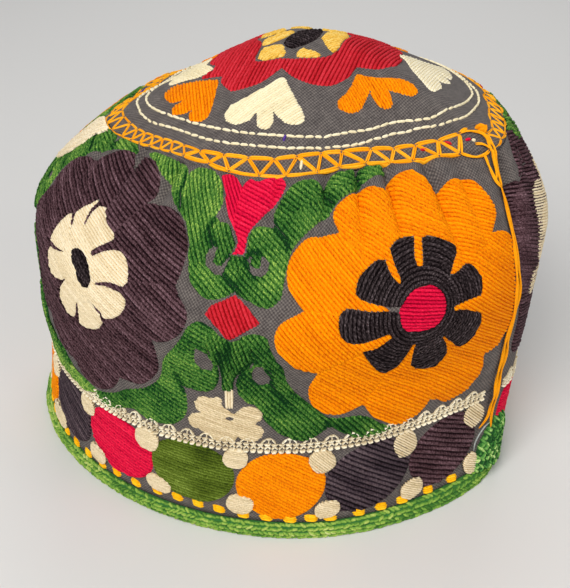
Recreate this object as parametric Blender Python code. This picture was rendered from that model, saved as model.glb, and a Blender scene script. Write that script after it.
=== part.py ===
# Tubeteika skullcap: a domed crown panel on a gathered side wall, a lower band, a braided rim
# edging that it stands on, a lace trim, and a corner seam with its cord and the edging's wound end.
# Azimuth 0 is the front (-Y) and grows towards +X. Lengths below are millimetres.

import bmesh
import bpy
import math
import numpy as np

MM = 0.001
GAP = 0.3

# Outline of the cap at five heights: an oval ring with its own centre and one soft corner
LEVEL_COLUMNS = ("height", "radius", "centre_x", "centre_y", "oval", "diagonal", "corner", "corner_at")
LEVELS = np.array((
    (0.0, 89.0, 0.0, 0.0, 0.014, -0.061, 3.7, 54.6),
    (39.1, 88.1, 3.3, -0.1, -0.014, -0.012, 8.7, 60.3),
    (56.1, 91.2, 5.1, 1.5, -0.004, -0.016, 5.6, 55.6),
    (89.4, 88.7, 8.4, -8.5, 0.030, -0.035, -2.9, 55.7),
    (123.5, 64.9, 15.4, -1.0, 0.091, 0.091, 9.9, 56.6),
))
HEIGHTS, RADII, CENTRE_X, CENTRE_Y, OVAL, DIAGONAL, CORNER, CORNER_AT = LEVELS.T
CORNER_WIDTH = 16.0

# Flats and a low corner of the crown seam: azimuth, half width in degrees, outward reach
CROWN_SEAM_BUMPS = ((-97.0, 18.0, -7.1), (-50.0, 18.0, -4.7), (-5.0, 18.0, 2.4))
LEAN_X = -0.019
LEAN_Y = 0.015

LACE_HEIGHT = HEIGHTS[1]
SEAM_HEIGHT = HEIGHTS[-1]
APEX_HEIGHT = 150.1
DOME_POWER = 1.5
TIP_ROUNDING = 0.16
CLOTH = 2.4

# The middle of the whole cap's box, which becomes the origin
BOX_CENTRE = (4.08, -1.01)

# Creases of the gathers seen from the front: azimuth, half width in degrees, depth, reach down
CREASES = (
    (-98.0, 2.6, 1.2, 14.0),
    (-82.0, 2.4, 1.0, 12.0),
    (-66.0, 2.4, 1.2, 12.0),
    (-52.0, 2.4, 1.8, 13.0),
    (-38.5, 2.8, 2.0, 16.0),
    (-24.0, 2.2, 1.0, 10.0),
    (-10.0, 2.2, 1.2, 12.0),
    (3.3, 2.2, 1.7, 14.0),
    (13.0, 2.2, 2.0, 14.0),
    (21.5, 2.2, 2.2, 15.0),
    (35.0, 2.6, 2.6, 18.0),
    (44.0, 2.3, 1.5, 14.0),
    (57.5, 3.2, 4.2, 26.0),
)
HIDDEN_CREASES_FROM = 70.0
HIDDEN_CREASES_STEP = 12.4
HIDDEN_CREASES = 15
PUFF = 0.8
PUFF_REACH = 14.0

# How far below the seam the wall stops; the crown stops twice as far inside it
SEAM_TRIM = 0.1

WALL_COLUMNS = 144
PLAIN_COLUMNS = 72
WALL_HEIGHTS = (46.0, 56.0, 68.0, 81.0, 93.0, 102.0, 110.0, 116.5, 121.0)
BAND_HEIGHTS = (14.0, 26.0)
CROWN_SHARES = (0.9, 0.74, 0.55, 0.33)
CROWN_TIP_SHARE = 0.12

# Sections of the trims: reach outwards from the cloth, height
EDGING_HEIGHT = 6.0
EDGING_SECTION = (
    (-3.4, 0.0), (0.6, 0.0), (1.5, 1.2), (1.8, 3.0),
    (1.4, 4.9), (0.5, EDGING_HEIGHT), (-3.0, EDGING_HEIGHT), (-3.8, 3.0),
)
LACE_BACK = 0.5
LACE_SECTION = ((LACE_BACK, -1.0), (1.4, -1.1), (1.8, 0.6), (1.4, 2.3), (LACE_BACK, 2.4))

SEAM_AT = 52.0
CORD_RADIUS = 0.9
CORD_STEP = 3.0
KNOT_FOOT = EDGING_HEIGHT + GAP
KNOT_TOP = 24.0
KNOT_HALF_WIDTH = 5.6
KNOT_DEPTH = 3.4
KNOT_BACK = 0.5
KNOT_WRAPS = 4
KNOT_ROWS = 17
KNOT_ARC_POINTS = 7

GREY_CLOTH = (0.117, 0.107, 0.114)
GREEN_BRAID = (0.13, 0.33, 0.06)
DARK_GREEN = (0.03, 0.16, 0.05)
CREAM_LACE = (0.68, 0.60, 0.45)
ORANGE_THREAD = (0.80, 0.27, 0.02)


def turn(azimuth, centre):
    return (azimuth - centre + 180.0) % 360.0 - 180.0


def hill(azimuth, centre, half_width):
    return np.exp(-(turn(azimuth, centre) / half_width) ** 2)


def level_radii(azimuth):
    """Radius at each level of the table, one column for each azimuth."""
    angle = np.radians(azimuth)[None]
    ring = 1 - OVAL[:, None] * np.cos(2 * angle) - DIAGONAL[:, None] * np.sin(2 * angle)
    radii = RADII[:, None] * ring
    radii += CORNER[:, None] * hill(azimuth[None], CORNER_AT[:, None], CORNER_WIDTH)
    for centre, half_width, reach in CROWN_SEAM_BUMPS:
        radii[-1] += reach * hill(azimuth, centre, half_width)
    return radii


def end_slope(near, far, slope, next_slope):
    ends = ((2 * near + far) * slope - near * next_slope) / (near + far)
    ends = np.where(ends * slope <= 0, 0.0, ends)
    steep = (slope * next_slope < 0) & (np.abs(ends) > 3 * np.abs(slope))
    return np.where(steep, 3 * slope, ends)


def blend(values, height):
    """Smooth curve through the levels' values that never overshoots them."""
    step = np.diff(HEIGHTS)[:, None]
    slope = np.diff(values, axis=0) / step
    before, after = 2 * step[1:] + step[:-1], step[1:] + 2 * step[:-1]
    same_way = slope[:-1] * slope[1:] > 0
    safe_low = np.where(same_way, slope[:-1], 1.0)
    safe_high = np.where(same_way, slope[1:], 1.0)
    middle = np.where(same_way, (before + after) / (before / safe_low + after / safe_high), 0.0)
    first = end_slope(step[0], step[1], slope[0], slope[1])
    last = end_slope(step[-1], step[-2], slope[-1], slope[-2])
    tangent = np.vstack((first, middle, last))
    k = int(np.clip(np.searchsorted(HEIGHTS, height, side="right") - 1, 0, len(HEIGHTS) - 2))
    width = HEIGHTS[k + 1] - HEIGHTS[k]
    t = (height - HEIGHTS[k]) / width
    return (
        (1 + 2 * t) * (1 - t) ** 2 * values[k]
        + t * (1 - t) ** 2 * width * tangent[k]
        + t * t * (3 - 2 * t) * values[k + 1]
        + t * t * (t - 1) * width * tangent[k + 1]
    )


def lean(points, share):
    points[:, 2] += share * (LEAN_X * points[:, 0] + LEAN_Y * points[:, 1])
    return points


def wall_ring(azimuth, height):
    """Points of the smooth outer surface at one height, without the gathers."""
    radius = blend(level_radii(azimuth), height)
    centre_x = blend(CENTRE_X[:, None], height)[0]
    centre_y = blend(CENTRE_Y[:, None], height)[0]
    angle = np.radians(azimuth)
    flat = (centre_x + radius * np.sin(angle), centre_y - radius * np.cos(angle))
    ring = np.stack((*flat, np.full(len(azimuth), height)), axis=1)
    return lean(ring, (height / SEAM_HEIGHT) ** 2)


def dome_rise(share):
    """Share of the dome's height: 1 at its rounded tip and 0 at its seam."""
    tip, edge = TIP_ROUNDING**DOME_POWER, (1 + TIP_ROUNDING**2) ** (DOME_POWER / 2)
    return 1 - ((share**2 + TIP_ROUNDING**2) ** (DOME_POWER / 2) - tip) / (edge - tip)


def crown_ring(azimuth, share):
    """Points of the dome at one share of the way from its middle to its seam."""
    radius = level_radii(azimuth)[-1] * share
    angle = np.radians(azimuth)
    height = SEAM_HEIGHT + (APEX_HEIGHT - SEAM_HEIGHT) * dome_rise(share)
    flat = (CENTRE_X[-1] + radius * np.sin(angle), CENTRE_Y[-1] - radius * np.cos(angle))
    return lean(np.stack((*flat, np.full(len(azimuth), height)), axis=1), 1.0)


def outward(ring_function, azimuth, place, step):
    """Unit normals of a surface at one ring, from its neighbours on both sides."""
    along = ring_function(azimuth + 0.5, place) - ring_function(azimuth - 0.5, place)
    up = ring_function(azimuth, place + step) - ring_function(azimuth, place - step)
    normal = np.cross(along, up)
    return normal / np.linalg.norm(normal, axis=1, keepdims=True)


def wall_normals(azimuth, height):
    return outward(wall_ring, azimuth, float(np.clip(height, 0.5, SEAM_HEIGHT - 0.5)), 0.4)


def crown_normals(azimuth, share):
    return outward(crown_ring, azimuth, min(share, 0.99), -0.01)


def seam_normals(azimuth):
    """Halfway between the wall's and the crown's normals, where the two meet."""
    both = wall_normals(azimuth, SEAM_HEIGHT) + crown_normals(azimuth, 1.0)
    return both / np.linalg.norm(both, axis=1, keepdims=True)


def all_creases():
    yield from CREASES
    for index in range(HIDDEN_CREASES):
        at = HIDDEN_CREASES_FROM + HIDDEN_CREASES_STEP * index
        yield at, 2.4, 1.5 + 0.6 * math.sin(2.4 * index), 13.0 + 2.0 * math.cos(1.7 * index)


def gathers(azimuth, height):
    """Reach outwards of the gathered cloth: puffs between creases, both fading downwards."""
    drop = SEAM_HEIGHT - height
    pinch = min(1.0, 0.45 + drop / 4.0)
    reach = np.full(len(azimuth), PUFF * math.exp(-(drop / PUFF_REACH) ** 2))
    for at, half_width, depth, length in all_creases():
        reach -= depth * hill(azimuth, at, half_width) * math.exp(-(drop / length) ** 2)
    return pinch * reach


def azimuths(columns):
    return np.arange(columns) * 360.0 / columns


def skin(rows, close_rows):
    """Closed skin through rows of points. Its ends meet, or each is closed by one face."""
    bm = bmesh.new()
    origin = np.array((*BOX_CENTRE, 0.0))
    loops = [[bm.verts.new((point - origin) * MM) for point in row] for row in rows]
    pairs = list(zip(loops, loops[1:]))
    if close_rows:
        pairs.append((loops[-1], loops[0]))
    else:
        bm.faces.new(loops[0])
        bm.faces.new(loops[-1])
    for low, high in pairs:
        for i, j in zip(range(len(low)), [*range(1, len(low)), 0]):
            bm.faces.new((low[i], low[j], high[j], high[i]))
    bmesh.ops.recalc_face_normals(bm, faces=bm.faces)
    return bm


def add_object(name, bm, material):
    mesh = bpy.data.meshes.new(name)
    bm.to_mesh(mesh)
    bm.free()
    mesh.shade_smooth()
    mesh.set_sharp_from_angle(angle=math.radians(50))
    mesh.materials.append(material)
    cap.objects.link(bpy.data.objects.new(name, mesh))


def add_material(name, colour, roughness):
    material = bpy.data.materials.new(name)
    material.use_nodes = True
    shader = material.node_tree.nodes["Principled BSDF"]
    shader.inputs["Base Color"].default_value = (*colour, 1.0)
    shader.inputs["Roughness"].default_value = roughness
    shader.inputs["Metallic"].default_value = 0.0
    return material


def make_side_wall():
    azimuth = azimuths(WALL_COLUMNS)
    heights = (LACE_HEIGHT + GAP / 2, *WALL_HEIGHTS, SEAM_HEIGHT - SEAM_TRIM)
    outer, inner = [], []
    for height in heights:
        normal = seam_normals(azimuth) if height == heights[-1] else wall_normals(azimuth, height)
        if height == heights[0]:
            normal = wall_normals(azimuth, LACE_HEIGHT)
        ring = wall_ring(azimuth, height) + normal * gathers(azimuth, height)[:, None]
        outer.append(ring)
        inner.append(ring - normal * CLOTH)
    bm = skin(outer + inner[::-1], close_rows=True)
    add_object("side_wall", bm, add_material("wall_cloth", GREY_CLOTH, 0.9))


def make_crown_panel():
    azimuth = azimuths(PLAIN_COLUMNS)
    edge_share = 1 - 2 * SEAM_TRIM / RADII[-1]
    outer, inner = [], []
    for share in (edge_share, *CROWN_SHARES, CROWN_TIP_SHARE):
        normal = seam_normals(azimuth) if share == edge_share else crown_normals(azimuth, share)
        ring = crown_ring(azimuth, share)
        outer.append(ring)
        inner.append(ring - normal * CLOTH)
    bm = skin(outer[::-1] + inner, close_rows=False)
    tip_rise = (APEX_HEIGHT - SEAM_HEIGHT) * (1 - dome_rise(CROWN_TIP_SHARE)) * MM
    tips = [face for face in bm.faces if len(face.verts) == PLAIN_COLUMNS]
    for tip in tips:
        bmesh.ops.poke(bm, faces=[tip], offset=math.copysign(tip_rise, tip.normal.z))
    add_object("crown_panel", bm, add_material("crown_cloth", GREY_CLOTH, 0.9))


def make_lower_band():
    azimuth = azimuths(PLAIN_COLUMNS)
    foot = EDGING_HEIGHT + GAP
    outer, inner = [], []
    for height in (foot, *BAND_HEIGHTS, LACE_HEIGHT - GAP / 2):
        normal = wall_normals(azimuth, height)
        if height == foot:
            normal = level_normals(azimuth)
        elif height > BAND_HEIGHTS[-1]:
            normal = wall_normals(azimuth, LACE_HEIGHT)
        ring = wall_ring(azimuth, height)
        outer.append(ring)
        inner.append(ring - normal * CLOTH)
    bm = skin(outer + inner[::-1], close_rows=True)
    add_object("lower_band", bm, add_material("band_cloth", GREY_CLOTH, 0.9))


def level_normals(azimuth):
    """Normals of the rim laid level, so that what is offset along them keeps its height."""
    normal = wall_normals(azimuth, 0.5) * (1, 1, 0)
    return normal / np.linalg.norm(normal, axis=1, keepdims=True)


def make_rim_edging():
    azimuth = azimuths(PLAIN_COLUMNS)
    normal = level_normals(azimuth)
    rows = []
    for reach, height in EDGING_SECTION:
        row = wall_ring(azimuth, height) + normal * reach
        row[:, 2] = height
        rows.append(row)
    bm = skin(rows, close_rows=True)
    add_object("rim_edging", bm, add_material("woven_braid", GREEN_BRAID, 0.8))


def make_lace_trim():
    opening = math.degrees((CORD_RADIUS + 2 * GAP) / RADII[1])
    azimuth = np.linspace(SEAM_AT + opening, SEAM_AT + 360.0 - opening, PLAIN_COLUMNS)
    sides = []
    for reach, rise in LACE_SECTION:
        height = LACE_HEIGHT + rise
        sides.append(wall_ring(azimuth, height) + wall_normals(azimuth, height) * reach)
    bm = skin(np.stack(sides, axis=1), close_rows=False)
    add_object("lace_trim", bm, add_material("cotton_lace", CREAM_LACE, 0.85))


def seam_line(height, reach):
    """One point over the corner seam, this far out from the cloth."""
    at = np.array((SEAM_AT,))
    normal = wall_normals(at, height)
    return (wall_ring(at, height) + normal * (gathers(at, height)[:, None] + reach))[0]


def make_seam_cord():
    foot, top = KNOT_TOP + 2 * GAP, SEAM_HEIGHT - 1.5
    steps = int((top - foot) / CORD_STEP)
    path = bpy.data.curves.new("seam_cord", "CURVE")
    path.dimensions = "3D"
    path.bevel_depth = CORD_RADIUS * MM
    path.bevel_resolution = 1
    path.use_fill_caps = True
    spline = path.splines.new("POLY")
    spline.points.add(steps)
    for i, point in enumerate(spline.points):
        x, y, z = seam_line(foot + (top - foot) * i / steps, CORD_RADIUS + GAP)
        point.co = ((x - BOX_CENTRE[0]) * MM, (y - BOX_CENTRE[1]) * MM, z * MM, 1.0)
    path.materials.append(add_material("orange_thread", ORANGE_THREAD, 0.6))
    cap.objects.link(bpy.data.objects.new("seam_cord", path))


def make_edging_knot():
    arc = np.linspace(0.0, math.pi, KNOT_ARC_POINTS)
    rows = []
    for i in range(KNOT_ROWS):
        share = i / (KNOT_ROWS - 1)
        height = KNOT_FOOT + (KNOT_TOP - KNOT_FOOT) * share
        body = math.sqrt(max(0.08, 1 - (abs(share - 0.32) / 0.72) ** 2.2))
        wrap = 1 + 0.07 * math.cos(2 * math.pi * KNOT_WRAPS * share)
        half_width, depth = KNOT_HALF_WIDTH * body * wrap, KNOT_DEPTH * body * wrap
        sideways = np.concatenate((half_width * np.cos(arc), half_width * np.array((-0.4, 0.4))))
        reach = np.concatenate((depth * np.sin(arc), np.zeros(2))) + KNOT_BACK
        azimuth = SEAM_AT + 2.5 + np.degrees(sideways / RADII[0])
        row = wall_ring(azimuth, height) + wall_normals(azimuth, height) * reach[:, None]
        row[:, 2] = height
        rows.append(row)
    bm = skin(rows, close_rows=False)
    add_object("edging_knot", bm, add_material("wound_braid", DARK_GREEN, 0.8))


for old in list(bpy.data.objects):
    bpy.data.objects.remove(old, do_unlink=True)
cap = bpy.data.collections.new("tubeteika_skullcap")
bpy.context.scene.collection.children.link(cap)

make_crown_panel()
make_side_wall()
make_lower_band()
make_rim_edging()
make_lace_trim()
make_seam_cord()
make_edging_knot()
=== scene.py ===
# Tubeteika skullcap: hand-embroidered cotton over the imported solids.
# The wall and band are charted flat in millimetres: u runs along the girth from the front, v up the cloth.
# The crown is charted from above, x to the right and y to the back. Mesh data is made in metres at the end.

import math
import bmesh
import bpy
import numpy as np
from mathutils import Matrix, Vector


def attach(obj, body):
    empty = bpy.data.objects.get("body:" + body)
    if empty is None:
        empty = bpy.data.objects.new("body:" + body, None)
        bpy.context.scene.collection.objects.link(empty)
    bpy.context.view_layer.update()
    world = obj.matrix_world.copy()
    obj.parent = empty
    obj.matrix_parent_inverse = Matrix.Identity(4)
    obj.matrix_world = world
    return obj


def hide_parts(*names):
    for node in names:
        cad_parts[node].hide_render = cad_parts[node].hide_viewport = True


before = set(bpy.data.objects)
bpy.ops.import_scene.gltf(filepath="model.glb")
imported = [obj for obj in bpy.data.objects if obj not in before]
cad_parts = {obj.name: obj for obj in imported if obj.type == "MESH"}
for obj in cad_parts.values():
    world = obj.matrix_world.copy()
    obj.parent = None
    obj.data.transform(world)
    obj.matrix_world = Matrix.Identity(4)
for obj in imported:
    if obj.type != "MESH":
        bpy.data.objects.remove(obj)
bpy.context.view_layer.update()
mm = 0.001

camera = {
    "place": (-0.00408, -0.33899, 0.2400),  # m
    "yaw": 0.022,  # radians to the right
    "pitch": 0.521,  # radians down
    "focalPixels": 986.7,  # in the photograph's 588-pixel-high frame
    "frameHeight": 588,
    "sensor": 36.0,
}


def addCamera():
    data = bpy.data.cameras.new("camera")
    data.sensor_width = camera["sensor"]
    data.lens = camera["sensor"] * camera["focalPixels"] / camera["frameHeight"]
    data.clip_start = 0.01
    seen = bpy.data.objects.new("camera", data)
    seen.location = camera["place"]
    seen.rotation_euler = (math.pi / 2 - camera["pitch"], 0, -camera["yaw"])
    bpy.context.scene.collection.objects.link(seen)
    bpy.context.scene.camera = seen


addCamera()
print("camera placed")

studio = {
    "floor": "#d9d7d3",
    "floorSize": 6.0,  # m
    "floorRoughness": 0.9,
    "ambient": "#c9ccd2",
    "ambientStrength": 0.43,
    "lampAim": (0, 0, 0.07),  # m
    "lamps": (  # name, place in m, size in m, watts
        ("key", (-0.38, -0.80, 0.88), 0.6, 13.0),
        ("fill", (0.8, -0.65, 0.42), 0.9, 4.2),
        ("back", (0.1, 0.9, 0.9), 0.8, 4.5),
    ),
}


def hexColour(text):  # sRGB hex to linear
    channels = [int(text[i:i + 2], 16) / 255 for i in (1, 3, 5)]
    linear = [c / 12.92 if c <= 0.04045 else ((c + 0.055) / 1.055) ** 2.4 for c in channels]
    return (*linear, 1.0)


def addNode(tree, kind, inputs=None, **settings):  # a node with its settings, values and links
    node = tree.nodes.new("ShaderNode" + kind)
    for name, value in settings.items():
        setattr(node, name, value)
    for socket, value in (inputs or {}).items():
        if isinstance(value, bpy.types.NodeSocket):
            tree.links.new(value, node.inputs[socket])
        else:
            node.inputs[socket].default_value = value
    return node


def newMaterial(name):
    material = bpy.data.materials.new(name)
    material.use_nodes = True
    tree = material.node_tree
    return material, tree, tree.nodes["Principled BSDF"]


def plainMaterial(name, colour, roughness):  # matt, of one even tone
    material, _, shader = newMaterial(name)
    shader.inputs["Base Color"].default_value = hexColour(colour)
    shader.inputs["Roughness"].default_value = roughness
    return material


def reckon(tree, operation, *values):  # the result of a Math node
    return addNode(tree, "Math", dict(enumerate(values)), operation=operation).outputs[0]


def setRamp(node, stops):
    elements = node.color_ramp.elements
    while len(elements) < len(stops):
        elements.new(0.5)
    for element, (position, colour) in zip(elements, stops):
        element.position = position
        element.color = hexColour(colour)


def addStudio():
    bpy.context.scene.view_settings.view_transform = "Standard"  # keeps the cottons as strong as they are
    world = bpy.data.worlds.new("studio")
    bpy.context.scene.world = world
    world.use_nodes = True
    background = world.node_tree.nodes["Background"]
    background.inputs["Color"].default_value = hexColour(studio["ambient"])
    background.inputs["Strength"].default_value = studio["ambientStrength"]
    for name, place, size, watts in studio["lamps"]:
        lamp = bpy.data.lights.new(name, "AREA")
        lamp.size = size
        lamp.energy = watts
        light = bpy.data.objects.new(name, lamp)
        light.location = place
        light.rotation_euler = (Vector(studio["lampAim"]) - light.location).to_track_quat("-Z", "Y").to_euler()
        bpy.context.scene.collection.objects.link(light)
    bm = bmesh.new()
    bmesh.ops.create_grid(bm, x_segments=1, y_segments=1, size=studio["floorSize"] / 2)
    mesh = bpy.data.meshes.new("floor")
    bm.to_mesh(mesh)
    bm.free()
    mesh.materials.append(plainMaterial("paleStudioPaper", studio["floor"], studio["floorRoughness"]))
    floor = bpy.data.objects.new("floor", mesh)
    bpy.context.scene.collection.objects.link(floor)


addStudio()
print("studio lit")

# The cap's outer surface, the same shape as its solids

cap = {
    "levels": np.array((  # height, radius, centre x, centre y, oval, diagonal, corner, corner at
        (0.0, 89.0, 0.0, 0.0, 0.014, -0.061, 3.7, 54.6),
        (39.1, 88.1, 3.3, -0.1, -0.014, -0.012, 8.7, 60.3),
        (56.1, 91.2, 5.1, 1.5, -0.004, -0.016, 5.6, 55.6),
        (89.4, 88.7, 8.4, -8.5, 0.030, -0.035, -2.9, 55.7),
        (123.5, 64.9, 15.4, -1.0, 0.091, 0.091, 9.9, 56.6),
    )),
    "cornerWidth": 16.0,  # degrees
    "seamBumps": (  # flats and swellings of the crown seam: azimuth, half width, reach
        (-97.0, 18.0, -7.1), (-50.0, 18.0, -4.7), (-5.0, 18.0, 2.4), (103.0, 18.0, -3.2),
    ),
    "lean": (-0.019, 0.015),  # rise of the crown seam to the right and to the back
    "apex": 150.1,
    "domePower": 1.5,
    "tipRounding": 0.16,  # share of the crown's radius
    "sags": ((-118.0, 32.0, 3.2, 2), (150.0, 45.0, 2.8, 1)),  # azimuth, half width, depth, power: slack cloth
    "boxCentre": (4.08, -1.01),  # becomes the origin
    "girthRadius": 88.0,  # turns azimuth into u
    "creases": (  # azimuth, half width, depth, reach down
        (-98.0, 2.6, 1.2, 14.0), (-82.0, 2.4, 1.0, 12.0), (-66.0, 2.4, 1.2, 12.0),
        (-52.0, 2.4, 1.8, 13.0), (-38.5, 2.8, 2.0, 16.0), (-24.0, 2.2, 1.0, 10.0),
        (-10.0, 2.2, 1.2, 12.0), (3.3, 2.2, 1.7, 14.0), (13.0, 2.2, 2.0, 14.0),
        (22.8, 2.2, 2.4, 15.0), (36.3, 2.6, 2.8, 18.0), (44.0, 2.3, 1.5, 14.0),
        (57.5, 3.2, 4.2, 26.0),
    ),
    "backCreases": {"first": 70.0, "step": 12.4, "count": 15, "halfWidth": 2.4, "depth": 1.5, "reach": 13.0},
    "creaseCore": (0.45, 0.4),  # share of a crease that is its sharp core, and the core's width
    "creaseDepth": 1.6,  # times the table's depths
    "puff": 0.8,
    "puffReach": 14.0,
    "puffAtSeam": (0.45, 4.0),  # share of the gathers left at the seam, mm over which they rise to full
    "cloth": 2.3,  # thickness
}
girth = 2 * math.pi * cap["girthRadius"]
levels = cap["levels"]
seamHeight = levels[-1, 0]
crownCentre = levels[-1, 2:4]
profileHeights = np.linspace(0, seamHeight, 500)


def turnFrom(azimuth, centre):
    return (azimuth - centre + 180.0) % 360.0 - 180.0


def hill(azimuth, centre, halfWidth):
    return np.exp(-(turnFrom(azimuth, centre) / halfWidth) ** 2)


def levelRadii(azimuth):
    angle = np.radians(azimuth)[None]
    radius, oval, diagonal, corner, cornerAt = (levels[:, k, None] for k in (1, 4, 5, 6, 7))
    radii = radius * (1 - oval * np.cos(2 * angle) - diagonal * np.sin(2 * angle))
    radii += corner * hill(azimuth[None], cornerAt, cap["cornerWidth"])
    for at, halfWidth, reach in cap["seamBumps"]:
        radii[-1] += reach * hill(azimuth, at, halfWidth)
    return radii


def endSlope(near, far, slope, nextSlope):
    ends = ((2 * near + far) * slope - near * nextSlope) / (near + far)
    ends = np.where(ends * slope <= 0, 0.0, ends)
    steep = (slope * nextSlope < 0) & (np.abs(ends) > 3 * np.abs(slope))
    return np.where(steep, 3 * slope, ends)


def blendLevels(values, height):  # smooth curve through the levels that never overshoots
    step = np.diff(levels[:, 0])[:, None]
    slope = np.diff(values, axis=0) / step
    before, after = 2 * step[1:] + step[:-1], step[1:] + 2 * step[:-1]
    sameWay = slope[:-1] * slope[1:] > 0
    low, high = np.where(sameWay, slope[:-1], 1.0), np.where(sameWay, slope[1:], 1.0)
    middle = np.where(sameWay, (before + after) / (before / low + after / high), 0.0)
    first = endSlope(step[0], step[1], slope[0], slope[1])
    last = endSlope(step[-1], step[-2], slope[-1], slope[-2])
    tangent = np.vstack((first, middle, last))
    k = np.clip(np.searchsorted(levels[:, 0], height, side="right") - 1, 0, len(levels) - 2)
    columns = np.arange(values.shape[1])
    width = step[k, 0]
    t = (height - levels[k, 0]) / width
    return (
        (1 + 2 * t) * (1 - t) ** 2 * values[k, columns]
        + t * (1 - t) ** 2 * width * tangent[k, columns]
        + t * t * (3 - 2 * t) * values[k + 1, columns]
        + t * t * (t - 1) * width * tangent[k + 1, columns]
    )


meanProfile = blendLevels(np.repeat(levels[:, 1:2], len(profileHeights), 1), profileHeights)
profileArc = np.concatenate(((0,), np.cumsum(np.hypot(np.diff(profileHeights), np.diff(meanProfile)))))
laceV = float(np.interp(levels[1, 0], profileHeights, profileArc))
seamV = float(profileArc[-1])


def wallPoints(azimuth, height):
    radius = blendLevels(levelRadii(azimuth), height)
    centreX = blendLevels(np.repeat(levels[:, 2:3], len(height), 1), height)
    centreY = blendLevels(np.repeat(levels[:, 3:4], len(height), 1), height)
    angle = np.radians(azimuth)
    x, y = centreX + radius * np.sin(angle), centreY - radius * np.cos(angle)
    lean = (height / seamHeight) ** 2 * (cap["lean"][0] * x + cap["lean"][1] * y)
    return np.stack((x - cap["boxCentre"][0], y - cap["boxCentre"][1], height + lean), axis=1)


def backCreases():  # uneven ones round the back, as rows of the creases' table
    back = cap["backCreases"]
    return [(back["first"] + back["step"] * k, back["halfWidth"], back["depth"] + 0.6 * math.sin(2.4 * k),
             back["reach"] + 2 * math.cos(1.7 * k)) for k in range(back["count"])]


def gathers(azimuth, height):  # puffs between creases, both fading downwards
    drop = seamHeight - height
    reach = cap["puff"] * np.exp(-(drop / cap["puffReach"]) ** 2)
    core, narrow = cap["creaseCore"]
    for at, halfWidth, depth, length in (*cap["creases"], *backCreases()):
        fold = (1 - core) * hill(azimuth, at, halfWidth) + core * hill(azimuth, at, narrow * halfWidth)
        reach = reach - cap["creaseDepth"] * depth * fold * np.exp(-(drop / length) ** 2)
    left, rise = cap["puffAtSeam"]
    return np.minimum(1.0, left + drop / rise) * reach


def unit(vectors):
    return vectors / np.maximum(np.linalg.norm(vectors, axis=-1, keepdims=True), 1e-9)


chart = {"azimuthStep": 0.25, "vStep": 0.5}  # degrees, mm


def chartWall():  # points and normals of the gathered wall on a fine grid of azimuth and v
    azimuth = np.arange(0, 360, chart["azimuthStep"])
    v = np.arange(0, seamV + chart["vStep"], chart["vStep"]).clip(0, seamV)
    a, b = (grid.ravel() for grid in np.meshgrid(azimuth, v, indexing="ij"))
    height = np.interp(b, profileArc, profileHeights)
    shape = (len(azimuth), len(v), 3)

    def normals(points):
        along = np.roll(points, -1, axis=0) - np.roll(points, 1, axis=0)
        up = np.gradient(points, axis=1)
        up[:, -1] = up[:, -3]  # the last row is clipped short
        return unit(np.cross(along, up))

    points = wallPoints(a, height).reshape(shape)
    points = points + normals(points) * gathers(a, height).reshape(shape[:2])[..., None]
    return points, normals(points)


wallChart, wallNormals = chartWall()


def onWall(u, v, lift=0.0):  # places charted points on the wall or band, lifted off the cloth
    u, v = np.broadcast_arrays(np.asarray(u, float), np.asarray(v, float))
    columns, rows = wallChart.shape[:2]
    a = np.degrees(u / cap["girthRadius"]) % 360.0 / chart["azimuthStep"]
    b = np.clip(v / chart["vStep"], 0, rows - 1.001)
    i, j = np.floor(a).astype(int), np.floor(b).astype(int)
    s, t = (a - i)[..., None], (b - j)[..., None]
    i, k = i % columns, (i + 1) % columns

    def sample(grid):
        return (grid[i, j] * (1 - s) + grid[k, j] * s) * (1 - t) + (grid[i, j + 1] * (1 - s) + grid[k, j + 1] * s) * t

    normal = unit(sample(wallNormals))
    return sample(wallChart) + normal * np.asarray(lift)[..., None], normal


def crownEdge(azimuth):
    return levelRadii(np.ravel(azimuth))[-1].reshape(np.shape(azimuth))


def crownHeight(x, y):
    azimuth = np.degrees(np.arctan2(x, -y))
    share = np.hypot(x, y) / crownEdge(azimuth)
    power, tip = cap["domePower"], cap["tipRounding"]
    low, high = tip ** power, (1 + tip ** 2) ** (power / 2)
    rise = 1 - ((share ** 2 + tip ** 2) ** (power / 2) - low) / (high - low)
    worldX, worldY = x + crownCentre[0], y + crownCentre[1]
    height = seamHeight + (cap["apex"] - seamHeight) * rise + cap["lean"][0] * worldX + cap["lean"][1] * worldY
    for at, halfWidth, depth, power in cap["sags"]:
        full = (power + 1) * ((power + 1) / power) ** power
        height = height - depth * hill(azimuth, at, halfWidth) * full * share ** power * np.maximum(1 - share, 0)
    return height


def onCrown(x, y, lift=0.0):  # places points charted from above on the crown
    x, y = np.broadcast_arrays(np.asarray(x, float), np.asarray(y, float))
    step = 0.3  # mm to both sides, for the slope
    slopeX = (crownHeight(x + step, y) - crownHeight(x - step, y)) / (2 * step)
    slopeY = (crownHeight(x, y + step) - crownHeight(x, y - step)) / (2 * step)
    normal = unit(np.stack((-slopeX, -slopeY, np.ones_like(slopeX)), axis=-1))
    worldX, worldY = x + crownCentre[0] - cap["boxCentre"][0], y + crownCentre[1] - cap["boxCentre"][1]
    return np.stack((worldX, worldY, crownHeight(x, y)), axis=-1) + normal * np.asarray(lift)[..., None], normal


print("surface charted")

# Cloth

cloth = {
    "wallSegments": (560, 46),
    "bandSegments": (432, 13),
    "crownSegments": (216, 34),
    "laceGap": 0.15,  # from the lace line to the edge of the cloth on both sides of it
    "seamGap": 0.1,
    "crownShare": 0.997,  # of the crown seam's radius
    "threadSpacing": 0.6,  # mm between threads of the coarse weave
    "warp": "#80776f",
    "weft": "#59524f",
    # darkest stop: painted shade where the weave lies low, deepened in the worn patches
    "shade": "#352f2d",
}


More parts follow.
